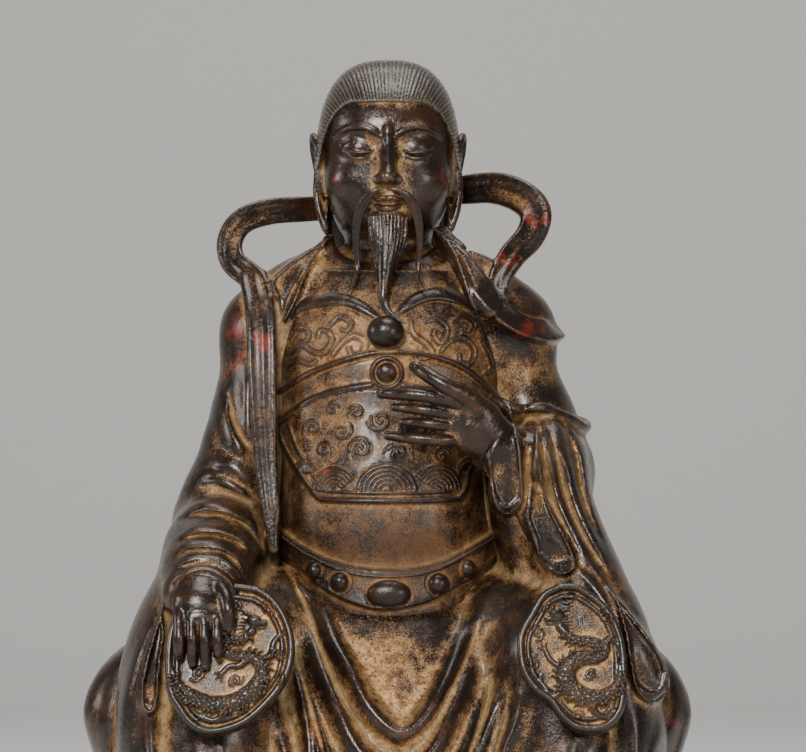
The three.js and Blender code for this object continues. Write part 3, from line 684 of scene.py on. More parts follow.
# The crossed collar: a flat band round the neck, and the two lapels of the robe beside it.
band = [(-28.5, 0, 317), (-28, -8, 311.5), (-24, -15.6, 305.6), (-15.5, -21.4, 301.6), (-1, -23.8, 300.4), (12.5, -22.2, 302.6), (21.8, -17.4, 307.2), (26.5, -10, 312.6), (27.5, -2, 318)]
robe.add(roll(band, [2.6, 4.4, 5.0, 5.2, 5.2, 5.2, 5.0, 4.4, 2.6], 1.9, face=(0, -0.85, 0.5), fullness=3.5), 0.8)
lapels = Drawing(robe)
lapels.fill(seen((331, 236), (320, 254), (309, 270), (296, 303), (285, 322), (280, 306), (272, 284), (282, 268), (304, 252)), 2.4, 1.4)
lapels.fill(seen((439, 234), (452, 252), (461, 276), (466, 294), (475, 314), (492, 318), (500, 300), (480, 268), (460, 246)), 2.0, 1.4)
robe.press(lapels)
lapels = Drawing(robe)
folds(
    lapels,
    [
        (1.5, 1.6, 0, (331, 236), (320, 254), (309, 270), (297, 302), (286, 321)),
        (1.5, 1.4, 0, (331, 237), (306, 253), (286, 268), (272, 282)),
        (1.5, 1.6, 0, (439, 234), (452, 252), (461, 276), (466, 294), (475, 314)),
        (1.5, 1.2, 0, (437, 232), (458, 243), (486, 257), (498, 264)),
    ],
    "bead",
)
folds(lapels, [(2.0, -1.8, 0, (322, 250), (304, 274), (290, 298), (284, 317)), (1.6, -1.2, 0, (446, 240), (464, 262), (474, 286))], "cut")
robe.press(lapels)

# The flared edge of the short oversleeve on the left arm.
ruffle = [(50, -36, 240), (57, -42, 236), (64, -38, 234.5), (71, -39, 236), (78, -33, 233), (85, -26, 230), (91, -12, 226), (92, 6, 226), (84, 22, 228), (70, 28, 230)]
robe.add(roll(ruffle, [2.6, 3.4, 3.4, 3.6, 3.6, 3.4, 3.2, 3.0, 3.0, 2.6], [4, 5, 5, 6, 6, 6, 6, 6, 5, 4], face=(0.4, -1, 0.3)), 2.5)

# The turned-back tongues of the wide sleeve mouths: each hangs in a loop with a rounded rim and a
# hollow inside it. First the soft mass, then the outline, the hollow and the rim.
robe.add(roll([(53, -72, 224), (56, -76, 208), (55, -76, 194)], [3, 7.0, 7.4], 4.0), 2)
robe.add(roll([(60, -64, 216), (66, -70, 192), (75, -72, 175), (82, -71, 167)], [3, 6.4, 8.0, 6.6], 4.2), 2)
robe.add(roll([(99, -70, 156), (108, -82, 137), (115, -86, 121), (121, -86, 106)], [3, 6.0, 8.6, 9.0], [4, 5, 5.5, 5]), 2)
robe.add(roll([(-102, -80, 146), (-108, -86, 126), (-111, -88, 112), (-112, -87, 103)], [2.4, 3.8, 5.0, 5.0], [3, 4, 4.4, 4]), 1.5)
TONGUES = [
    (2.6, 1, [(484, 452), (487, 470), (489, 488), (494, 505), (504, 513), (515, 508), (521, 495), (520, 470), (518, 445), (514, 425), (508, 410)]),
    (2.4, 1, [(521, 512), (526, 526), (532, 540), (536, 555), (547, 567), (560, 571), (570, 566), (572, 556), (563, 535), (550, 510), (541, 485), (537, 455), (534, 428)]),
    (3.0, 1, [(604, 584), (613, 602), (620, 628), (624, 655), (630, 682), (645, 697), (659, 693), (665, 676), (656, 650), (640, 626), (620, 600)]),
    (2.2, 1, [(168, 600), (160, 625), (152, 655), (147, 680), (147, 697), (154, 706), (162, 700), (164, 682), (166, 655), (170, 625)]),
]
for proud, hollow, rim in TONGUES:
    mass = Drawing(robe)
    mass.fill(seen(*rim), proud, 1.6)
    robe.press(mass)
    lip = Drawing(robe)
    middle = np.array(rim, float).mean(0)
    lip.fill(seen(*[tuple(middle + (np.array(spot) - middle) * 0.78) for spot in rim]), -2.0 * hollow, 3.0)
    lip.stroke(seen(*rim), [0.9, 1.5, 1.5, 1.5, 0.9], [0.8, 1.7, 1.7, 1.7, 0.8], "bead")
    robe.press(lip)


def meshed(wax, name, faces, factor=0.001):
    """The wax as a mesh object, thinned to a number of triangles."""
    grid = openvdb.FloatGrid(background=FAR)
    grid.copyFromArray(wax.field)
    points, triangles, quads = grid.convertToPolygons(isovalue=0.0, adaptivity=0.0)
    points = (points * wax.pitch + wax.low) * factor
    mesh = bpy.data.meshes.new(name)
    mesh.vertices.add(len(points))
    mesh.vertices.foreach_set("co", points.astype(np.float32).ravel())
    mesh.loops.add(quads.size)
    mesh.loops.foreach_set("vertex_index", quads.ravel().astype(np.int32))
    mesh.polygons.add(len(quads))
    mesh.polygons.foreach_set("loop_start", np.arange(0, quads.size, 4, dtype=np.int32))
    mesh.update(calc_edges=True)
    mesh.validate()
    piece = bpy.data.objects.new(name, mesh)
    bpy.context.collection.objects.link(piece)
    bpy.ops.object.select_all(action="DESELECT")
    bpy.context.view_layer.objects.active = piece
    piece.select_set(True)
    total = 2 * len(quads)
    if total > faces:
        thin = piece.modifiers.new("thin", "DECIMATE")
        thin.ratio = faces / total
        bpy.ops.object.modifier_apply(modifier=thin.name)
    bpy.ops.object.shade_smooth()
    return piece


def marked(piece, wax, **kept):
    """Marks each point with how deep it lies in a hollow and how sharp a crest it is, with what has kept there, and
    with where the crests are greyed, partly worn and partly a painted highlight: each of the named lists holds a base
    amount, then places, reaches and amounts."""
    mesh = piece.data
    count = len(mesh.vertices)
    place, normal = np.empty(3 * count, np.float32), np.empty(3 * count, np.float32)
    mesh.vertices.foreach_get("co", place)
    mesh.vertices.foreach_get("normal", normal)
    place, normal = place.reshape(-1, 3) * 1000, normal.reshape(-1, 3)

    skip = max(1, int(round(1.4 / wax.pitch)))
    cell = skip * wax.pitch
    solid = np.clip(0.5 - wax.field[::skip, ::skip, ::skip] / cell, 0, 1)
    marks = {}
    for mark, reach in (("near", 2.6), ("far", 7.5)):
        soft = blurred(solid, max(1, int(round(reach / cell))))
        at = (place + normal * 0.4 * reach - wax.low) / cell
        at = np.clip(at, 0, np.array(soft.shape) - 1.001)
        low = at.astype(int)
        part = at - low
        total = 0
        for corner in range(8):
            step = np.array([corner & 1, (corner >> 1) & 1, corner >> 2])
            share = np.where(step, part, 1 - part).prod(1)
            i, j, k = (low + step).T
            total = total + share * soft[i, j, k]
        marks["hollow_" + mark] = total - 0.33

    ends = np.empty(2 * len(mesh.edges), np.int32)
    mesh.edges.foreach_get("vertices", ends)
    a, b = ends.reshape(-1, 2).T
    degree = np.maximum(np.bincount(ends, minlength=count), 1)
    smooth = place.copy()
    for turn in range(4):
        smooth = np.stack(
            [
                (np.bincount(a, smooth[b, k], count) + np.bincount(b, smooth[a, k], count)) / degree
                for k in range(3)
            ],
            1,
        )
    crest = np.einsum("ij,ij->i", place - smooth, normal)
    marks["crest"] = np.clip(crest / np.percentile(np.maximum(crest, 0), 92), -2, 2)
    for mark in ("gilt", "red", "grey", "deep"):
        base, *areas = kept.get(mark, [0.0])
        marks[mark] = np.full(count, base)
        for centre, reach, amount in areas:
            away = np.linalg.norm((place - np.array(centre)) / np.array(reach), axis=1)
            marks[mark] += amount * np.exp(-2 * away**2)
    for mark, values in marks.items():
        given = mesh.attributes.new(mark, "FLOAT", "POINT")
        given.data.foreach_set("value", np.asarray(values, np.float32))


class Nodes:
    """A short way to lay shader nodes and their links."""

    def __init__(self, tree):
        self.tree = tree

    def put(self, kind, *inputs, out=0, **settings):
        node = self.tree.nodes.new(kind)
        for name, value in settings.items():
            setattr(node, name, value)
        for i, value in enumerate(inputs):
            if value is None:
                continue
            if hasattr(value, "is_output"):
                self.tree.links.new(value, node.inputs[i])
            else:
                node.inputs[i].default_value = value
        return node.outputs[out]

    def math(self, operation, *inputs, clamp=False):
        return self.put("ShaderNodeMath", *inputs, operation=operation, use_clamp=clamp)

    def mark(self, name):
        return self.put("ShaderNodeAttribute", attribute_name=name, out=2)

    def noise(self, place, scale, detail=3.0, rough=0.55):
        node = self.tree.nodes.new("ShaderNodeTexNoise")
        self.tree.links.new(place, node.inputs["Vector"])
        node.inputs["Scale"].default_value = scale
        node.inputs["Detail"].default_value = detail
        node.inputs["Roughness"].default_value = rough
        return node.outputs["Fac"]

    def ramp(self, value, low, high):
        node = self.tree.nodes.new("ShaderNodeMapRange")
        node.interpolation_type = "SMOOTHSTEP"
        self.tree.links.new(value, node.inputs["Value"])
        node.inputs["From Min"].default_value = low
        node.inputs["From Max"].default_value = high
        return node.outputs["Result"]

    def blend(self, share, first, second):
        node = self.tree.nodes.new("ShaderNodeMix")
        node.data_type = "RGBA"
        for socket, value in zip((node.inputs[0], node.inputs[6], node.inputs[7]), (share, first, second)):
            if hasattr(value, "is_output"):
                self.tree.links.new(value, socket)
            else:
                socket.default_value = value
        return node.outputs[2]


def worn_gilding():
    """The shared effect: where gilding, red lacquer and dust have kept on the bronze, and where crests are lightened,
    partly by wear and partly as a painted highlight.
    """
    group = bpy.data.node_groups.new("worn_gilding", "ShaderNodeTree")
    for name in ("Gilt", "Red", "Dust", "Speckle", "Wear_and_highlight", "Patch"):
        group.interface.new_socket(name, in_out="OUTPUT", socket_type="NodeSocketFloat")
    n = Nodes(group)
    result = group.nodes.new("NodeGroupOutput")
    place = n.put("ShaderNodeTexCoord", out=3)
    broad = n.math("SUBTRACT", n.noise(place, 38, 4), 0.5)
    middle = n.math("SUBTRACT", n.noise(place, 150, 4, 0.62), 0.5)
    fine = n.noise(place, 620, 3, 0.7)
    grain = n.noise(place, 1500, 2, 0.6)
    near, far, crest = n.mark("hollow_near"), n.mark("hollow_far"), n.mark("crest")
    level = n.math("MULTIPLY_ADD", near, 2.7, n.mark("gilt"))
    level = n.math("MULTIPLY_ADD", far, 0.9, level)
    level = n.math("MULTIPLY_ADD", n.math("MAXIMUM", crest, 0.0), -0.30, level)
    level = n.math("MULTIPLY_ADD", broad, 0.8, level)
    level = n.math("MULTIPLY_ADD", middle, 0.9, level)
    level = n.math("MULTIPLY_ADD", n.math("SUBTRACT", fine, 0.5), 1.6, level)
    level = n.math("MULTIPLY_ADD", n.math("SUBTRACT", grain, 0.5), 1.5, level)
    links = group.links
    links.new(n.ramp(level, 0.18, 0.72), result.inputs["Gilt"])
    red = n.math("MULTIPLY_ADD", n.math("SUBTRACT", n.noise(place, 60, 5, 0.65), 0.5), 2.2, n.mark("red"))
    red = n.math("MULTIPLY_ADD", middle, 0.8, red)
    links.new(n.ramp(red, 0.50, 0.80), result.inputs["Red"])
    dust = n.math("MULTIPLY_ADD", near, 2.6, n.math("MULTIPLY", far, 1.6))
    dust = n.math("MULTIPLY_ADD", middle, 0.7, dust)
    links.new(n.ramp(dust, 0.34, 1.0), result.inputs["Dust"])
    links.new(fine, result.inputs["Speckle"])
    # Crests turn a lighter brown: partly lacquer worn off the raised edges, partly a painted highlight along them.
    worn = n.math("MULTIPLY_ADD", middle, 1.2, crest)
    worn = n.math("MULTIPLY_ADD", n.math("SUBTRACT", grain, 0.5), 0.8, worn)
    links.new(n.ramp(worn, 0.7, 1.7), result.inputs["Wear_and_highlight"])
    links.new(n.ramp(n.math("ADD", broad, n.math("MULTIPLY", middle, 0.6)), -0.16, 0.2), result.inputs["Patch"])
    return group


GILDING = worn_gilding()


def lacquered(name, wear_and_highlight_tone=(0.125, 0.080, 0.047)):
    """Bronze under dark lacquer that has rubbed through to the old gilding in the hollows, with its crests painted
    lighter: partly wear, partly a painted highlight.
    """
    material = bpy.data.materials.new(name)
    material.use_nodes = True
    tree = material.node_tree
    n = Nodes(tree)
    shader = tree.nodes["Principled BSDF"]
    worn = tree.nodes.new("ShaderNodeGroup")
    worn.node_tree = GILDING
    mask = worn.outputs
    place = n.put("ShaderNodeTexCoord", out=3)
    tone = n.ramp(n.noise(place, 240, 3), 0.32, 0.66)
    grey = n.math("MULTIPLY", n.mark("grey"), 1.0, clamp=True)
    deep = n.mark("deep")
    lacquer = n.blend(mask["Patch"], (0.013, 0.0075, 0.005, 1), (0.042, 0.018, 0.008, 1))
    # The lighter brown on the crests is partly wear, partly a painted highlight.
    lacquer = n.blend(mask["Wear_and_highlight"], lacquer, (*wear_and_highlight_tone, 1))
    lacquer = n.blend(mask["Red"], lacquer, (0.17, 0.016, 0.008, 1))
    # In the grey areas the crests are painted a light grey: partly worn lacquer, partly a painted highlight.
    lift = n.math("MULTIPLY", n.ramp(n.mark("crest"), -0.6, 0.9), grey)
    lacquer = n.blend(lift, lacquer, (0.105, 0.096, 0.078, 1))
    gold = n.blend(mask["Patch"], (0.20, 0.080, 0.024, 1), (0.42, 0.215, 0.078, 1))
    gold = n.blend(n.math("MULTIPLY", tone, 0.8), gold, (0.66, 0.42, 0.20, 1))
    gold = n.blend(deep, gold, (0.105, 0.038, 0.008, 1))
    gold = n.blend(n.ramp(mask["Speckle"], 0.47, 0.66), gold, (0.085, 0.040, 0.016, 1))
    colour = n.blend(mask["Gilt"], lacquer, gold)
    colour = n.blend(n.math("MULTIPLY", mask["Dust"], 0.5), colour, (0.25, 0.205, 0.105, 1))
    tree.links.new(colour, shader.inputs["Base Color"])
    rough = n.math("MULTIPLY_ADD", mask["Gilt"], 0.15, 0.25)
    rough = n.math("MULTIPLY_ADD", mask["Dust"], 0.3, rough)
    rough = n.math("MULTIPLY_ADD", deep, 0.12, rough)
    rough = n.math("MULTIPLY_ADD", n.math("SUBTRACT", tone, 0.5), 0.1, rough)
    tree.links.new(rough, shader.inputs["Roughness"])
    metal = n.math("MULTIPLY_ADD", mask["Gilt"], 0.45, 0.2)
    metal = n.math("MULTIPLY", metal, n.math("MULTIPLY_ADD", deep, -0.6, 1.0))
    metal = n.math("MULTIPLY", metal, n.math("MULTIPLY_ADD", mask["Dust"], -0.7, 1.0))
    tree.links.new(metal, shader.inputs["Metallic"])
    height = n.math("MULTIPLY_ADD", mask["Gilt"], -0.5, mask["Speckle"])
    height = n.math("MULTIPLY_ADD", n.noise(place, 300, 4), 1.2, height)
    bump = tree.nodes.new("ShaderNodeBump")
    bump.inputs["Strength"].default_value = 0.4
    bump.inputs["Distance"].default_value = 0.0006
    tree.links.new(height, bump.inputs["Height"])
    tree.links.new(bump.outputs["Normal"], shader.inputs["Normal"])
    tree.links.new(n.math("MULTIPLY_ADD", deep, -0.24, 0.3), shader.inputs["Coat Weight"])
    shader.inputs["Coat Roughness"].default_value = 0.18
    return material


figure_casting = meshed(robe, "figure_casting", 198000)
marked(
    figure_casting,
    robe,
    gilt=[
        0.06,
        ((0, -85, 100), (42, 60, 66), 0.38),
        ((0, -80, 122), (26, 40, 24), 0.35),
        ((0, -62, 188), (56, 40, 40), 0.10),
        ((70, -55, 190), (30, 50, 60), 0.12),
        ((-84, -60, 175), (34, 60, 30), 0.10),
        ((0, -60, 20), (160, 90, 60), 0.12),
        ((66, 0, 252), (22, 60, 14), 0.35),
        ((-60, -36, 240), (12, 20, 70), 0.34),
        ((-66, 0, 320), (22, 30, 22), 0.55),
        ((60, 4, 326), (24, 30, 22), 0.35),
        ((0, -20, 304), (50, 40, 16), 0.30),
    ],
    red=[
        0.10,
        ((-60, -30, 270), (14, 30, 26), 0.50),
        ((-72, -10, 262), (18, 30, 40), 0.44),
        ((-84, -50, 186), (30, 60, 20), 0.32),
        ((70, 5, 330), (18, 30, 18), 0.55),
        ((56, -10, 306), (14, 30, 16), 0.45),
        ((68, -34, 276), (22, 30, 16), 0.42),
        ((-34, -90, 88), (26, 60, 40), 0.28),
        ((44, -90, 70), (24, 60, 50), 0.30),
        ((136, -20, 90), (18, 60, 40), 0.28),
    ],
    # The crests at the tops of the knees are greyed: partly wear, partly a painted highlight.
    grey=[0.0, ((-48, -60, 145), (14, 40, 16), 0.5), ((52, -60, 140), (20, 40, 22), 0.4)],
    deep=[0.0, ((-60, -36, 240), (12, 20, 70), 0.7), ((130, -20, 80), (24, 60, 60), 0.4), ((-130, -20, 80), (24, 60, 60), 0.3)],
)
figure_casting.data.materials.append(lacquered("lacquered_gilt_bronze"))
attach(figure_casting, "root")
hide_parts("figure")

# ---------------------------------------------------------------- head and hair
# The head with its combed hair, long ears, moustache and beard: the same casting, but its wax was
# finished with finer tools, so its mesh is finer. The face is a calm one on the usual proportions.
FINE = 0.45
FACE = [
    [316, 13, 14, 10],
    [320, 20, 22, 14],
    [326, 25, 28, 18],
    [334, 28.4, 31, 24],
    [344, 30.2, 32.6, 30],
    [356, 31.0, 33.2, 33],
    [366, 31.3, 33.4, 35],
    [375, 30.8, 32.2, 36],
    [383, 28.6, 28.4, 34],
    [391, 23.5, 21, 28],
    [398, 15, 12, 18],
]
head = Wax((-42, -58, 246), (42, 60, 408), FINE)
head.add(drum(FACE, 2.35), 2)
head.add(egg((0, -24, 335), (13, 10, 9.5)), 8)
head.add(egg((0, -26, 325.5), (9, 7.5, 6)), 6)
for side in (-1, 1):
    head.add(egg((side * 17.5, -18.5, 344), (10, 10.5, 9)), 9)
    head.cut(egg((side * 13.4, -41.4, 361.2), (10.5, 11, 5.4)), 6)
    head.add(egg((side * 13.2, -23.8, 360.2), (8.8, 8.2, 6.6), (0, 0, side * 12)), 3.0)
    slit = [(side * 5.4, -30.4, 358.6), (side * 9, -32.5, 357.3), (side * 13.2, -33.2, 356.9), (side * 17.4, -31.4, 357.6), (side * 21.4, -27.0, 359.4)]
    head.add(roll([(x, y - 0.1, z + 0.75) for x, y, z in slit], [0.4, 0.85, 0.95, 0.9, 0.5]), 0.9)
    under = [(side * 6.2, -30.4, 357.8), (side * 9.4, -32.0, 355.9), (side * 13.2, -32.6, 355.2), (side * 17, -30.8, 356.0), (side * 20.4, -27.2, 358.2)]
    head.add(roll(under, [0.4, 0.8, 0.9, 0.8, 0.4]), 0.9)
    head.cut(roll([(x, y - 0.7, z) for x, y, z in slit], [0.35, 0.5, 0.55, 0.5, 0.35]), 0.3)
    crease = [(side * 5.2, -32.0, 361.6), (side * 9, -33.4, 364.4), (side * 14, -33.0, 365.6), (side * 19, -30.0, 364.4), (side * 22.6, -26.4, 361.6)]
    head.cut(roll(crease, [0.4, 0.6, 0.6, 0.5, 0.3]), 1.2)
    brow = [(side * 2.4, -33.4, 364.4), (side * 6.4, -33.4, 368.0), (side * 13.0, -32.2, 370.2), (side * 20, -28.6, 369.2), (side * 26.0, -22.6, 365.4)]
    head.add(roll(brow, [0.5, 1.0, 1.3, 1.1, 0.4]), 2.2)
bridge = [(0, -31.4, 369), (0, -32.6, 360), (0, -34.8, 352), (0, -36.4, 346.4)]
head.add(roll(bridge, [1.6, 2.6, 3.8, 4.6]), 3.5)
nose = [(0, -32.8, 368.4), (0, -35.2, 360.5), (0, -38.4, 352), (0, -40.8, 346.8)]
head.add(roll(nose, [1.3, 1.7, 2.2, 2.9]), 2.4)
head.add(egg((0, -40.8, 346.0), (3.6, 3.8, 3.3)), 2.0)
for side in (-1, 1):
    head.add(egg((side * 4.5, -36.9, 345.0), (2.7, 3.8, 2.6), (0, 0, side * 20)), 2.0)
    head.cut(egg((side * 2.5, -40.4, 342.4), (1.3, 2.0, 1.0)), 0.5)
head.cut(roll([(0, -37.6, 341.6), (0, -37.4, 338)], [0.7, 1.0]), 1)
upper_lip = [(-8.8, -32.6, 335.6), (-5, -35.9, 335.6), (-1.8, -37.2, 336.4), (0, -37.2, 335.8), (1.8, -37.2, 336.4), (5, -35.9, 335.6), (8.8, -32.6, 335.6)]
head.add(roll(upper_lip, [0.4, 1.1, 1.5, 1.3, 1.5, 1.1, 0.4]), 1.1)
head.add(roll([(-7.6, -32.8, 334.4), (-4.0, -35.4, 332.0), (0, -36.5, 331.3), (4.0, -35.4, 332.0), (7.6, -32.8, 334.4)], [0.4, 1.4, 1.9, 1.4, 0.4]), 1.1)
head.cut(roll([(-9.6, -32.8, 336.0), (-4.6, -37.4, 334.1), (0, -39.0, 333.8), (4.6, -37.4, 334.1), (9.6, -32.8, 336.0)], 0.5), 0.4)
head.cut(egg((0, -36.0, 327.8), (5, 2, 1.3)), 2.2)
neck = [(0, 9, 288), (0, 5, 310), (0, 2, 332)]
head.add(roll(neck, [23.5, 21, 20], [21, 20, 20]), 9)

# Long-lobed ears.
for side in (-1, 1):
    head.add(egg((side * 31.8, 4, 355), (2.6, 6.0, 9.5)), 2.5)
    helix = [(side * 31.6, -3.5, 350), (side * 33.2, -4.6, 357), (side * 35, -1.5, 364.5), (side * 36, 4.5, 366.5), (side * 36, 9.6, 361), (side * 34.6, 9.4, 352), (side * 33.2, 5.4, 345)]
    head.add(roll(helix, [1.3, 1.5, 1.7, 1.8, 1.7, 1.5, 1.4]), 1)
    head.add(roll([(side * 33.6, 1, 349), (side * 34.2, 3.4, 355), (side * 34, 1.6, 360)], 1.2), 1)
    lobe = [(side * 33.2, 3, 348), (side * 33.6, 2, 339), (side * 32.2, 0, 330), (side * 30, -2, 322.5)]
    head.add(roll(lobe, [3.6, 3.8, 3.8, 3.0], [2.4, 2.3, 2.3, 2.0], face=(side, 0.3, 0)), 1.6)

# Hair: combed straight back off the brow in even ridges, over a cap that stands off the forehead.
CAP_MIDDLE, CAP_HALF, CAP_HEIGHT, CAP_FULL = 348.0, 34.6, 55.1, 2.7
RIDGE_GAP = 2.2
swings = np.linspace(-math.pi, math.pi, 721)
tall = np.where(np.cos(swings) > 0, CAP_HEIGHT, CAP_HALF)
radius = ((np.abs(np.sin(swings)) / CAP_HALF) ** CAP_FULL + (np.abs(np.cos(swings)) / tall) ** CAP_FULL) ** (-1 / CAP_FULL)
outline = np.stack([radius * np.sin(swings), radius * np.cos(swings)], 1)
along = np.concatenate([[0], np.cumsum(np.linalg.norm(np.diff(outline, axis=0), axis=1))])
along -= np.interp(0, swings, along)
HAIRLINE = np.array([(0, 382.4), (17, 382.2), (21, 380.6), (25, 377), (28.6, 371), (31, 364), (33, 352), (40, 344)])


def hair_cap(x, y, z):
    """The shell of combed hair, cut off along the hairline over the brow and down the temples."""
    full = np.sqrt(np.maximum(0.03, 1 - (np.abs(y - 4) / 44) ** 2.3))
    lift = z - CAP_MIDDLE
    height = np.where(lift > 0, CAP_HEIGHT, CAP_HALF)
    q = ((np.abs(x) / CAP_HALF) ** CAP_FULL + (np.abs(lift) / height) ** CAP_FULL + 1e-5) ** (1 / CAP_FULL) / full
    r = np.sqrt(x * x + lift * lift + 1e-3)
    d = r - r / q
    swing = np.arctan2(x, lift)
    s = np.interp(swing.ravel(), swings, along).reshape(swing.shape)
    sway = 0.12 * np.sin(0.11 * y + 1.7 * np.floor(s / RIDGE_GAP + 0.5))
    wave = np.abs(np.sin(np.pi * (s / RIDGE_GAP + sway)))
    d = d + 0.35 - 0.75 * np.sqrt(wave) * np.clip((full - 0.25) * 4, 0, 1)
    line = np.interp(np.abs(x), HAIRLINE[:, 0], HAIRLINE[:, 1])
    edge = np.minimum((line - z) * 0.85, -5 - y)
    for limit, round_off in ((edge, 1.6), ((338 - z) * 0.8, 4.0)):
        h = np.clip(0.5 + 0.5 * (d - limit) / round_off, 0, 1)
        d = limit + h * (d - limit) + round_off * h * (1 - h)
    return np.maximum(d, y - 46.8).astype(np.float32)


head.add((np.array([-37, -40, 336]), np.array([37, 50, 406]), hair_cap), 0.4)
head.add(roll([(0, 20, 366), (0, 27, 340), (0, 31, 300), (0, 35, 254)], [26, 29, 28, 19], [17, 15, 12, 7], face=(0, 1, 0)), 3)
locks = Drawing(head)
for i in range(-9, 10):
    sway = 1.6 * math.sin(1.7 * i)
    line = [(3.1 * i, 350), (3.2 * i + sway, 318), (2.9 * i - sway, 285), (1.9 * i, 254)]
    locks.stroke(line, 1.75, [1.0, 1.6, 1.6, 0.8], lean=0.2)
head.press(locks, back=True)

# Moustache and beard, in strands laid side by side.
for side in (-1, 1):
    spine = np.array([(2.2, -38.4, 340.6), (6.6, -38.4, 339.2), (11.4, -36.2, 333.8), (14.4, -33.4, 325.5), (15.2, -31.6, 314), (14.4, -31.4, 303), (16.4, -35.4, 295.5), (19.8, -38.6, 290.5)])
    spine = spine * np.array([side, 1, 1])
    for k in range(3):
        u = k - 1
        shift = np.array([[0.2, 0.9, 1.3, 1.25, 0.95, 0.7, 0.4, 0.0]]).T * np.array([[side * u, 0.35 * abs(u), 0.5 * u]])
        head.add(roll(spine + shift, [0.6, 1.0, 1.0, 0.85, 0.75, 0.65, 0.55, 0.35]), 0.3)
tuft = [(0, -33.6, 328), (-0.2, -35, 318), (-1.0, -36.6, 306), (-1.8, -38.4, 296)]
head.add(roll(tuft, [8.6, 7.6, 4.6, 2.4], [2.6, 3.4, 3.0, 2.0]), 1.5)
for k in range(11):
    u = (k - 5) / 5
    out = 1 - u * u
    strand = [
        (8.8 * u, -33.8 - 3.0 * out, 328.5 - 1.5 * abs(u)),
        (8.2 * u, -34.8 - 4.0 * out, 318),
        (5.2 * u - 0.8, -36.6 - 3.6 * out, 306),
        (2.7 * u - 1.8, -39.0 - 2.2 * out, 296 - 1.5 * out),
    ]
    if abs(u) < 0.7:
        strand += [(1.7 * u - 1.8, -43, 287), (1.3 * u + 1.2, -48.5, 281), (0.5 * u + 7.8, -52.6, 276.6)]
        head.add(roll(strand, [0.7, 0.95, 0.9, 0.9, 0.95, 0.9, 0.4]), 0.35)
    else:
        head.add(roll(strand, [0.7, 0.9, 0.8, 0.4]), 0.35)

head_and_hair = meshed(head, "head_and_hair", 198000)
marked(
    head_and_hair,
    head,
    gilt=[
        -0.12,
        ((0, -36, 364), (14, 12, 5), 0.5),
        ((-13, -34, 371), (12, 10, 3.5), 0.42),
        ((13, -34, 371), (12, 10, 3.5), 0.42),
        ((0, -34, 352), (13, 12, 13), 0.36),
        ((0, -34, 336), (16, 14, 9), 0.42),
        ((-13, -34, 355), (9, 10, 4), 0.34),
        ((13, -34, 355), (9, 10, 4), 0.34),
        ((0, -30, 380), (26, 12, 3), 0.5),
        ((0, -20, 308), (26, 18, 16), 0.42),
        ((0, -44, 292), (5, 10, 12), 0.2),
        ((0, 10, 395), (60, 60, 22), -0.5),
    ],
    red=[
        -0.1,
        ((-25, -22, 346), (7, 14, 13), 0.75),
        ((26, -22, 345), (6, 14, 13), 0.75),
        ((-33, 0, 330), (6, 12, 9), 0.7),
        ((33, 0, 330), (6, 12, 9), 0.7),
    ],
)
# The ridges of the combed hair are greyed: partly grey worn ridges, partly a painted highlight along them.
spots = np.empty(3 * len(head_and_hair.data.vertices), np.float32)
head_and_hair.data.vertices.foreach_get("co", spots)
spots = spots.reshape(-1, 3) * 1000
hair = np.clip(1 - hair_cap(*spots.T) / 0.8, 0, 1) * np.clip((spots[:, 2] - 344) / 4, 0, 1)
head_and_hair.data.attributes["grey"].data.foreach_set("value", hair.astype(np.float32))
head_and_hair.data.materials.append(lacquered("face_lacquer"))
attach(head_and_hair, "root")

# ---------------------------------------------------------------- hands
# Bare hands out of the sleeves: the right one rests over the knee with its fingers down, the left is
# held before the chest with the thumb and the first finger about to meet.
left = Wax((-12, -98, 206), (66, -54, 266), FINE)
left.add(roll([(60, -68, 216), (52, -73, 219), (44, -77.5, 225), (34, -80, 231)], [11, 12, 13, 10.5], [9, 9, 8.2, 6]), 2)
left.add(roll([(46, -78, 234), (39, -83, 240), (32, -86, 244)], [6, 5.4, 4.6]), 4)
left.add(roll([(35, -85, 243), (28.5, -88, 246), (22, -87, 250), (17, -83.5, 253.2), (12.4, -78.5, 256)], [4.6, 4.0, 3.6, 3.5, 2.6]), 1.5)
FINGERS = [
    [(37, -80, 236), (30, -85, 239.6), (19, -87, 241.8), (8, -85, 243.0), (-3, -79, 243.2)],
    [(37, -80, 232), (28, -83.5, 233.8), (18, -84.5, 235.4), (10, -82, 236.4), (3, -76, 236.8)],
    [(37, -79, 227.5), (28, -82.5, 228.2), (20, -83.5, 229.0), (13, -81, 229.6), (7, -76, 229.8)],
    [(37, -77, 222.5), (28, -82.5, 221.4), (19, -84.5, 221.6), (9, -82.5, 222.6), (0, -77, 223.4)],
]
for finger, size in zip(FINGERS, (3.2, 2.7, 2.7, 2.9)):
    left.add(roll(finger, [size + 1, size + 0.5, size, size, size - 0.7], steps=30), 1.0)
for x, y, z in ((-2.4, -81.0, 243.9), (14.0, -82.0, 257.2)):
    left.add(egg((x, y, z), (2.0, 1.2, 1.5)), 0.4)
left_hand = meshed(left, "left_hand", 40000)

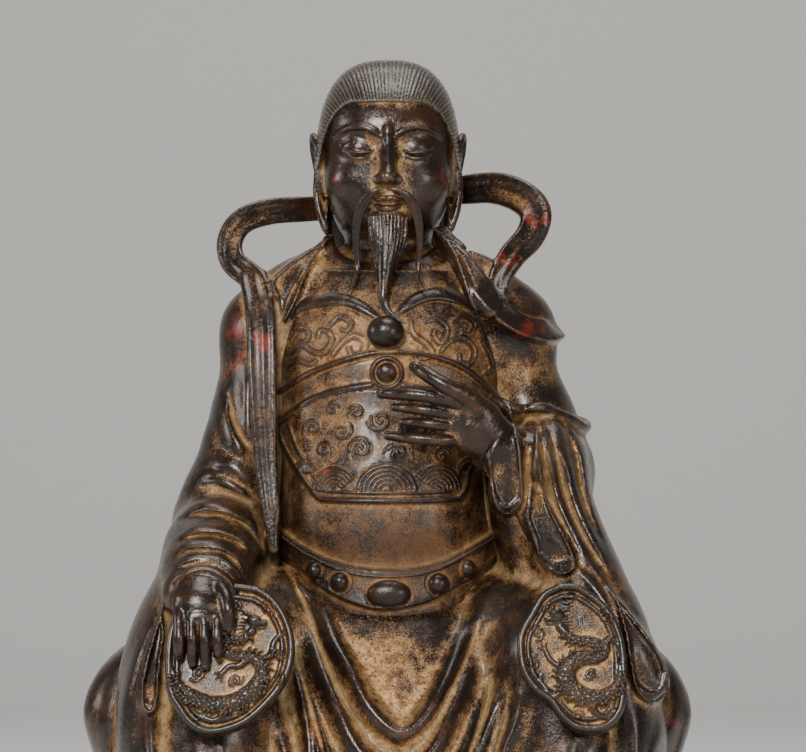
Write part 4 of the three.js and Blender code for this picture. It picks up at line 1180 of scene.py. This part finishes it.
right = Wax((-106, -122, 108), (-66, -78, 168), FINE)
right.add(roll([(-86, -84, 155), (-86.5, -92, 151.5), (-88, -100, 145.5), (-88, -104.5, 138.5)], [12.5, 12.5, 13, 12], [10, 9.5, 8.5, 6]), 2)
for i, tip in enumerate((119, 115.5, 114.3, 118.6)):
    x = -97.4 + 5.9 * i
    spot = [(x * 0.9 - 8.8, -102, 145), (x, -107, 138), (x, -110.5, 130), (x + 0.1 * i, -110.5, 124), (x + 0.2 * i, -108.6, tip + 2.4)]
    right.add(roll(spot, [3.6, 3.2, 2.75, 2.7, 2.2], steps=30), 0.8)
right.add(roll([(-79, -98, 152), (-76, -104, 148), (-74.4, -108, 142), (-74.6, -107.5, 134)], [4.2, 3.8, 3.4, 2.5]), 1.5)
right_hand = meshed(right, "right_hand", 40000)
for piece, wax in ((left_hand, left), (right_hand, right)):
    marked(
        piece,
        wax,
        gilt=[0.0, ((12, -84, 232), (22, 14, 7), 0.40), ((-88, -108, 126), (16, 14, 14), 0.22), ((44, -80, 220), (26, 20, 8), 0.18)],
        red=[0.06, ((44, -84, 236), (7, 9, 7), 0.6), ((54, -76, 220), (12, 12, 8), 0.5), ((-84, -100, 148), (6, 9, 6), 0.6)],
    )
    piece.data.materials.append(lacquered(piece.name + "_lacquer"))
    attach(piece, "root")

# ---------------------------------------------------------------- armour and belt
# The breastplate, the chest band with its boss and buckle, the flared belly plate and the belt: low
# relief that was chased in the wax over the round of the body, between the lapels and the lap.
ARMOUR = [
    [128, 50, 61, 20],
    [140, 52, 63.5, 20],
    [150, 53, 62, 20],
    [160, 54, 60.5, 20],
    [178, 55, 61.5, 20],
    [204, 54.5, 57.5, 20],
    [236, 55.5, 50.5, 20],
    [266, 57, 45.5, 20],
    [288, 51, 36.5, 20],
    [302, 38, 28, 20],
]
RIM = 0.5
armour = Wax((-60, -76, 126), (60, -8, 304), RIM)
armour.add(drum(ARMOUR, 2.3), 1)
armour.cut(slab((-70, -18, 100), (70, 30, 320), 2, 1), 1)

plates = Drawing(armour)
PLATE = seen(
    (277, 421), (283, 443), (295, 465), (309, 485), (317, 497), (328, 501), (387, 502), (449, 501), (462, 496),
    (469, 484), (473, 468), (484, 459), (497, 452), (500, 430), (470, 405), (430, 392), (387, 388), (345, 391), (305, 405),
)
plates.fill(PLATE, 1.3)
BELT_TOP = [(278, 526), (305, 545), (335, 559), (365, 566), (403, 567), (435, 561), (465, 547), (489, 533), (500, 524)]
BELT_FOOT = [(278, 548), (303, 569), (325, 587), (355, 601), (387, 607), (427, 599), (455, 585), (477, 573), (503, 549)]
plates.fill(seen(*BELT_TOP, *BELT_FOOT[::-1]), 3.4, 2.2)
armour.press(plates)

work = Drawing(armour)
BREAST_RIGHT = seen((283, 326), (289, 319), (301, 307), (325, 301), (345, 301), (361, 307), (379, 319))
BREAST_LEFT = seen((397, 315), (405, 308), (419, 299), (435, 295), (451, 297), (465, 303), (482, 315))
for line in (BREAST_RIGHT, BREAST_LEFT):
    work.stroke(line, [1.6, 3.1, 3.3, 3.3, 2.8, 1.6], [1.0, 2.2, 2.4, 2.4, 2.2, 1.4], "bead")
    work.stroke([(x, z - 3.4) for x, z in line], 0.8, -0.7, "cut")
CHEST_BAND = seen((276, 396), (281, 391), (315, 371), (355, 357), (387, 352), (427, 355), (465, 369), (500, 399))
BAND_RIGHT = seen((276, 424), (281, 420), (305, 403), (335, 391), (371, 385))
BAND_LEFT = seen((403, 385), (436, 392), (470, 408), (498, 432))
work.stroke(CHEST_BAND, 1.5, 1.9, "bead")
work.stroke([(x, z - 2.6) for x, z in CHEST_BAND], 0.7, -0.7, "cut")
for line in (BAND_RIGHT, BAND_LEFT):
    work.stroke(line, 1.7, 2.2, "bead")
PLATE_RIM = seen(
    (277, 427), (283, 445), (296, 466), (309, 484), (317, 494), (328, 498), (387, 499), (449, 498), (461, 494),
    (467, 483), (471, 467), (484, 457), (498, 452),
)
INNER_RIM = seen(
    (289, 425), (297, 447), (309, 465), (317, 479), (324, 487), (335, 490), (387, 491), (443, 490), (455, 485),
    (460, 469), (470, 455), (484, 444),
)
work.stroke(PLATE_RIM, 1.5, 1.7, "bead")
work.stroke(INNER_RIM, 1.0, 1.1, "bead")
work.stroke([(x, z) for x, z in seen(*BELT_TOP)], 1.0, 1.3, "bead")
work.stroke([(x, z - 2.9) for x, z in seen(*BELT_TOP)], 0.8, 0.9, "bead")
work.stroke([(x, z + 0.8) for x, z in seen(*BELT_FOOT)], 1.0, 0.9, "bead")


def wave(middle, wide, tall, first=0, last=180, rings=6):
    """A round-topped wave: a raised fan, cut through by arcs one inside the other."""
    (x, z), = seen(middle)
    angle = np.radians(np.linspace(first, last, 24))
    rim = np.stack([x + wide * STEP * np.cos(angle), z + tall * STEP * np.sin(angle)], 1)
    work.fill(np.vstack([rim, [[x, z - 0.5]]]), 1.0, 0.8, steps=120)
    for k in range(rings):
        share = 0.985 - 0.155 * k
        arc = np.stack([x + share * wide * STEP * np.cos(angle), z + share * tall * STEP * np.sin(angle)], 1)
        work.stroke(arc, 0.62, -0.95, "cut")


wave((336, 489), 24, 25, 30, 180)
wave((437, 488), 25, 26, 0, 150)
wave((306, 472), 13, 15, 10, 150, rings=3)
wave((468, 470), 13, 15, 40, 175, rings=3)
wave((387, 489), 31, 27)

# Cloud curls over the waves: each is a flat round with a line winding in to its middle and an arc
# outside it. Each has its own centre, radius, first angle and turns.
CLOUDS = [
    (314, 427, 9.0, 200, -1.45), (343, 431, 9.0, 30, -1.45), (381, 420, 10.0, 160, 1.5), (361, 447, 11.5, 200, -1.5),
    (397, 453, 10.0, 150, -1.4), (325, 449, 8.5, 340, 1.45), (308, 445, 6.0, 120, -1.2), (441, 455, 8.5, 20, 1.4),
    (418, 447, 7.0, 220, -1.3), (460, 446, 8.0, 160, -1.4), (333, 409, 7.0, 20, 1.3), (357, 411, 7.5, 190, -1.4),
    (404, 405, 7.0, 30, 1.3), (430, 411, 8.0, 200, -1.4), (455, 419, 8.0, 340, 1.4), (478, 436, 8.0, 150, -1.3),
    (405, 428, 8.0, 330, 1.4), (430, 432, 7.0, 100, 1.3), (300, 414, 5.5, 60, 1.2), (476, 415, 6.0, 40, 1.2),
]
for px, py, r, start, turns in CLOUDS:
    spot, = seen((px, py))
    work.dot(spot, r * STEP * 1.1, 0.35, "else")
    work.spiral(spot, r * STEP, start, turns, [0.62, 0.7, 0.95], [0.95, 0.95, 1.1], "bead")
    work.spiral(spot, 1.36 * r * STEP, start + 25, 0.62 * np.sign(turns), 0.55, [0.4, 0.8, 0.8, 0.4], "bead")


def scroll(*places, wide=1.55):
    """A flat band with a raised line along both its edges, narrowing to its ends."""
    path = curve(np.array(seen(*places)), 44)
    way = np.gradient(path, axis=0)
    way /= np.linalg.norm(way, axis=1)[:, None]
    aside = np.stack([-way[:, 1], way[:, 0]], 1)
    half = wide * np.sin(np.linspace(0.35, math.pi - 0.6, 45)) ** 0.7
    work.stroke(path, half, 0.5, "else", smooth=False)
    for sign in (-1, 1):
        work.stroke(path + sign * aside * 0.85 * half[:, None], 0.55, 1.05, "bead", smooth=False)


# Scrolling vines on the breast.
scroll((293, 354), (303, 345), (313, 351), (323, 353), (332, 344), (330, 333), (322, 331), (319, 338))
scroll((333, 356), (343, 343), (355, 336), (365, 342), (363, 353), (353, 355), (349, 348))
scroll((290, 340), (297, 329), (308, 330), (309, 340), (301, 342), wide=1.3)
scroll((330, 327), (340, 318), (351, 322), (349, 331), (342, 330), wide=1.3)
scroll((288, 369), (299, 361), (311, 364), (318, 360), wide=1.2)
scroll((410, 320), (413, 334), (424, 343), (431, 353), (422, 358), (415, 351))
scroll((424, 322), (436, 320), (446, 330), (441, 342), (433, 337), (434, 330))
scroll((440, 352), (450, 341), (463, 340), (473, 350), (470, 363), (460, 363), (458, 355))
scroll((452, 324), (462, 317), (473, 324), (470, 335), (461, 334), wide=1.3)
scroll((480, 340), (488, 354), (492, 368), (485, 374), wide=1.2)
armour.press(work)

# The boss, the ringed buckle and the cabochons of the belt.
armour.add(egg((-1, -47.5, 272.2), (9.0, 7.5, 7.9)), 0.6)
(x, z), = seen((387, 373))
depth = armour.surface(x, z)
ring = [(x + 7.0 * math.cos(a), depth - 0.6, z + 7.0 * math.sin(a)) for a in np.linspace(0, 2 * math.pi, 17)]
armour.add(egg((x, depth + 1.2, z), (7.6, 2.6, 7.6)), 0.8)
armour.add(roll(ring, 1.25, 1.8, steps=48), 0.5)
armour.add(egg((x, depth - 0.4, z), (5.0, 2.9, 5.0)), 0.5)
for px, py, wide, tall in ((316, 568, 9, 9), (341, 579, 9.6, 9.6), (389, 591, 21.5, 14), (438, 581, 11, 10.5), (466, 566, 9.4, 9)):
    (x, z), = seen((px, py))
    depth = armour.surface(x, z)
    lean = -28 * x / 40
    armour.cut(roll([(x + (wide * STEP + 0.5) * math.cos(a), depth - 0.1 + 0.012 * x * (wide * STEP) * math.cos(a) * np.sign(x) * np.sign(x), z + (tall * STEP + 0.5) * math.sin(a)) for a in np.linspace(0, 2 * math.pi, 13)], 0.7, steps=36), 0.8)
    armour.add(egg((x, depth + 0.4, z), (wide * STEP, 4.6, tall * STEP), (0, 0, -lean)), 0.5)

armour_and_belt = meshed(armour, "armour_and_belt", 198000)
marked(
    armour_and_belt,
    armour,
    gilt=[
        0.20,
        ((0, -60, 176), (60, 30, 20), 0.34),
        ((-28, -55, 224), (20, 30, 16), 0.22),
        ((34, -55, 210), (22, 30, 12), 0.30),
        ((0, -45, 270), (60, 30, 20), 0.24),
        ((0, -35, 296), (45, 30, 8), 0.20),
        ((4, -58, 203), (20, 20, 9), -0.30),
        ((0, -47, 272), (8, 12, 8), -0.5),
        ((0, -52, 251), (8, 12, 8), -0.3),
        ((0, -64, 143), (60, 30, 12), 0.08),
    ],
    red=[0.08, ((-30, -58, 206), (12, 20, 8), 0.4), ((-8, -47, 270), (5, 12, 6), 0.5), ((0, -60, 176), (50, 30, 20), 0.12)],
    deep=[0.38, ((0, -60, 172), (70, 40, 22), 0.60), ((0, -64, 146), (70, 30, 14), 0.3)],
)
armour_and_belt.data.materials.append(lacquered("armour_lacquer"))
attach(armour_and_belt, "root")

# ---------------------------------------------------------------- knee medallions
# Two lobed medallions on the knees, each with a double rim round a coiled dragon among clouds. They
# lean back with the thighs, so each is worked flat and then set in its place.
LEAN = 14.0
OUTLINES = {
    "right": [
        (262, 583), (276, 592), (287, 606), (295, 625), (297.5, 645), (293, 667), (283, 685), (268, 702), (250, 717), (230, 725),
        (210, 727), (193, 717), (183, 703), (175, 690), (172, 672), (172, 645), (176, 620), (188, 600), (210, 586), (236, 580),
    ],
    "left": [
        (555, 580), (573, 581), (591, 592), (605, 606), (615, 626), (620, 650), (620, 680), (617, 704), (605, 720), (589, 725),
        (571, 722), (557, 710), (547, 696), (531, 684), (519, 666), (515, 644), (517, 626), (527, 608), (539, 589),
    ],
}
DRAGONS = {
    "right": {
        "spine": [(177, 660), (184, 678), (202, 692), (223, 698), (245, 693), (261, 679), (266, 663), (255, 652), (238, 651), (226, 643), (232, 634), (247, 635), (256, 626)],
        "girth": [0.8, 2.2, 3.2, 3.9, 4.3, 4.5, 4.2, 3.5, 2.9, 2.5, 2.3, 2.3, 2.2],
        "legs": [
            [(264, 657), (274, 650), (277, 638), (283, 630)],
            [(232, 698), (228, 708), (218, 713), (209, 709)],
            [(204, 690), (194, 696), (185, 690), (180, 680)],
            [(252, 652), (244, 660), (234, 661), (226, 668)],
        ],
        "clouds": [(281, 650, 5.5, 200, -1.3), (205, 668, 7, 60, 1.4), (240, 675, 6, 240, -1.4), (271, 606, 7, 300, 1.3), (240, 603, 6, 120, -1.2), (217, 620, 7, 80, 1.3), (284, 672, 5, 90, 1.2)],
        "head": (258, 617, 1),
    },
    "left": {
        "spine": [(556, 622), (568, 634), (586, 637), (600, 643), (592, 652), (574, 654), (562, 666), (566, 682), (582, 691), (601, 689), (613, 676), (614, 660)],
        "girth": [2.2, 2.3, 2.5, 2.8, 3.4, 4.2, 4.8, 4.9, 4.5, 3.6, 2.4, 1.0],
        "legs": [
            [(578, 652), (562, 662), (548, 656), (541, 644)],
            [(586, 692), (590, 705), (600, 710), (608, 704)],
            [(598, 640), (606, 634), (612, 640), (615, 648)],
            [(562, 680), (551, 690), (543, 684), (537, 675)],
        ],
        "clouds": [(536, 628, 6, 100, 1.3), (566, 595, 6, 40, 1.3), (600, 614, 7, 300, 1.3), (546, 605, 6, 200, -1.3), (586, 669, 5.5, 60, 1.4), (573, 708, 6, 10, 1.3), (530, 658, 5, 280, 1.2)],
        "head": (553, 613, -1),
    },
}
for side, outline in OUTLINES.items():
    (cx, cz), = seen((234, 654) if side == "right" else (567, 653))
    cy = -100.6

    def flat(*places):
        return [(x - cx, (z - cz) / math.cos(math.radians(LEAN))) for x, z in seen(*places)]

    plate = Wax((-34, -9, -41), (34, 12, 41), FINE)
    edge = np.array(flat(*outline))
    ring = curve(np.vstack([edge, edge[:1]]), 120)

    def disc(x, y, z):
        away = outside(ring, x[:, :, 0].astype(float), z[0, 0][None, :].astype(float))
        sloped = away[:, None, :] + 0.6 + 0.95 * np.maximum(y - 1.5, 0)
        return np.maximum(sloped, np.abs(y - 4) - 7.4).astype(np.float32)

    plate.add((np.array([-33, -4, -40]), np.array([33, 12, 40]), disc), 1)
    relief = Drawing(plate)
    hub = edge.mean(0)
    for share, width, tall in ((0.945, 1.9, 2.6), (0.815, 1.25, 1.7)):
        loop = hub + (np.vstack([edge, edge[:1]]) - hub) * share
        relief.stroke(loop, width, tall, "bead")
    plate.press(relief)

    drawn = DRAGONS[side]
    spine = np.array(flat(*drawn["spine"]))
    body = curve(spine, 60)
    girth = spread(drawn["girth"], 61)
    top = -3.4
    lift = top - 0.3 - 0.9 * np.sin(np.linspace(0, 3 * math.pi, 61)) ** 2
    plate.add(roll(np.stack([body[:, 0], lift, body[:, 1]], 1)[::2], girth[::2], 0.4 * girth[::2] + 1.4, steps=60), 0.5)
    for leg in drawn["legs"]:
        path = flat(*leg)
        plate.add(roll([(x, top - 0.8, z) for x, z in path], [2.2, 1.8, 1.3, 1.0]), 0.5)
        tip, before = np.array(path[-1]), np.array(path[-2])
        way = (tip - before) / np.linalg.norm(tip - before)
        for turn in (-50, 0, 50):
            c, s = math.cos(math.radians(turn)), math.sin(math.radians(turn))
            claw = tip + 3.2 * np.array([c * way[0] - s * way[1], s * way[0] + c * way[1]])
            plate.add(roll([(tip[0], top - 0.8, tip[1]), (claw[0], top - 0.6, claw[1])], [0.95, 0.45], steps=4), 0.3)
    hx, hz = flat(drawn["head"][:2])[0]
    facing = drawn["head"][2]
    plate.add(egg((hx, top - 1.2, hz), (3.6, 2.4, 2.8), (0, 20 * facing, 0)), 0.6)
    plate.add(egg((hx + 3.4 * facing, top - 1.0, hz - 1.0), (2.8, 1.8, 1.5), (0, 12 * facing, 0)), 0.5)
    plate.add(egg((hx + 5.2 * facing, top - 1.8, hz - 0.2), (1.1, 1.0, 1.0)), 0.3)
    plate.add(egg((hx + 1.2 * facing, top - 3.0, hz + 0.8), (0.9, 0.9, 0.8)), 0.3)
    plate.add(roll([(hx + 0.6 * facing, top - 0.8, hz - 2.6), (hx + 3.0 * facing, top - 0.9, hz - 3.4), (hx + 5.0 * facing, top - 0.8, hz - 3.0)], [1.0, 0.8, 0.5]), 0.3)
    for k in range(2):
        plate.add(roll([(hx - facing, top - 1.6, hz + 1.6 + k), (hx - 4 * facing, top - 1.2, hz + 3.4 + k), (hx - (6.5 + k) * facing, top - 0.8, hz + 3.0 + 2.4 * k)], [0.9, 0.7, 0.35]), 0.3)
    for k in range(5):
        end = (hx - (6.0 + 0.5 * k) * facing, hz + 1.6 - 1.9 * k)
        plate.add(roll([(hx - 1.5 * facing, top - 1.0, hz - 0.6), (hx - 4 * facing, top - 1.0, hz + 0.6 - 1.2 * k), (end[0], top - 0.4, end[1])], [0.8, 0.6, 0.25]), 0.3)

    carved = Drawing(plate)
    tangent = np.gradient(body, axis=0)
    tangent /= np.linalg.norm(tangent, axis=1)[:, None]
    normal = np.stack([-tangent[:, 1], tangent[:, 0]], 1)
    run = np.concatenate([[0], np.cumsum(np.linalg.norm(np.diff(body, axis=0), axis=1))])
    for k, at in enumerate(np.arange(4, run[-1] - 4, 2.3)):
        i = int(np.searchsorted(run, at))
        g = girth[i] * 0.92
        rows = (-0.66, 0, 0.66) if k % 2 else (-0.33, 0.33)
        for u in rows:
            spot = body[i] + normal[i] * g * u
            a = normal[i] * 0.3 * g
            carved.stroke([spot - a, spot - 0.4 * a + tangent[i] * 1.2, spot + 0.4 * a + tangent[i] * 1.2, spot + a], 0.6, -0.9, "cut")
        fin = body[i] - normal[i] * g * 1.05
        carved.stroke([fin + 0.2 * tangent[i], fin - normal[i] * 1.8 - tangent[i] * 0.9], [0.95, 0.4], [1.6, 0.8], "bead", smooth=False)
    for px, py, r, start, turns in drawn["clouds"]:
        (x, z), = flat((px, py))
        carved.spiral((x, z), r * STEP, start, turns, [0.7, 0.7, 1.0], [0.9, 0.9, 1.2], "bead")
        carved.spiral((x, z), 1.5 * r * STEP, start + 150, 0.35 * turns / abs(turns), [0.5, 0.7, 0.5], [0.6, 0.9, 0.5], "bead")
    plate.press(carved)

    name = side + "_knee_medallion"
    medallion = meshed(plate, name, 110000)
    # The medallion's crests are greyed a little: partly wear, partly a painted highlight.
    marked(medallion, plate, gilt=[0.10], red=[0.06], grey=[0.22])
    medallion.location = (cx / 1000, cy / 1000, cz / 1000)
    medallion.rotation_euler = (math.radians(-LEAN), 0, 0)
    bpy.ops.object.transform_apply(location=True, rotation=True, scale=True)
    medallion.data.materials.append(lacquered(name + "_lacquer"))
    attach(medallion, "root")
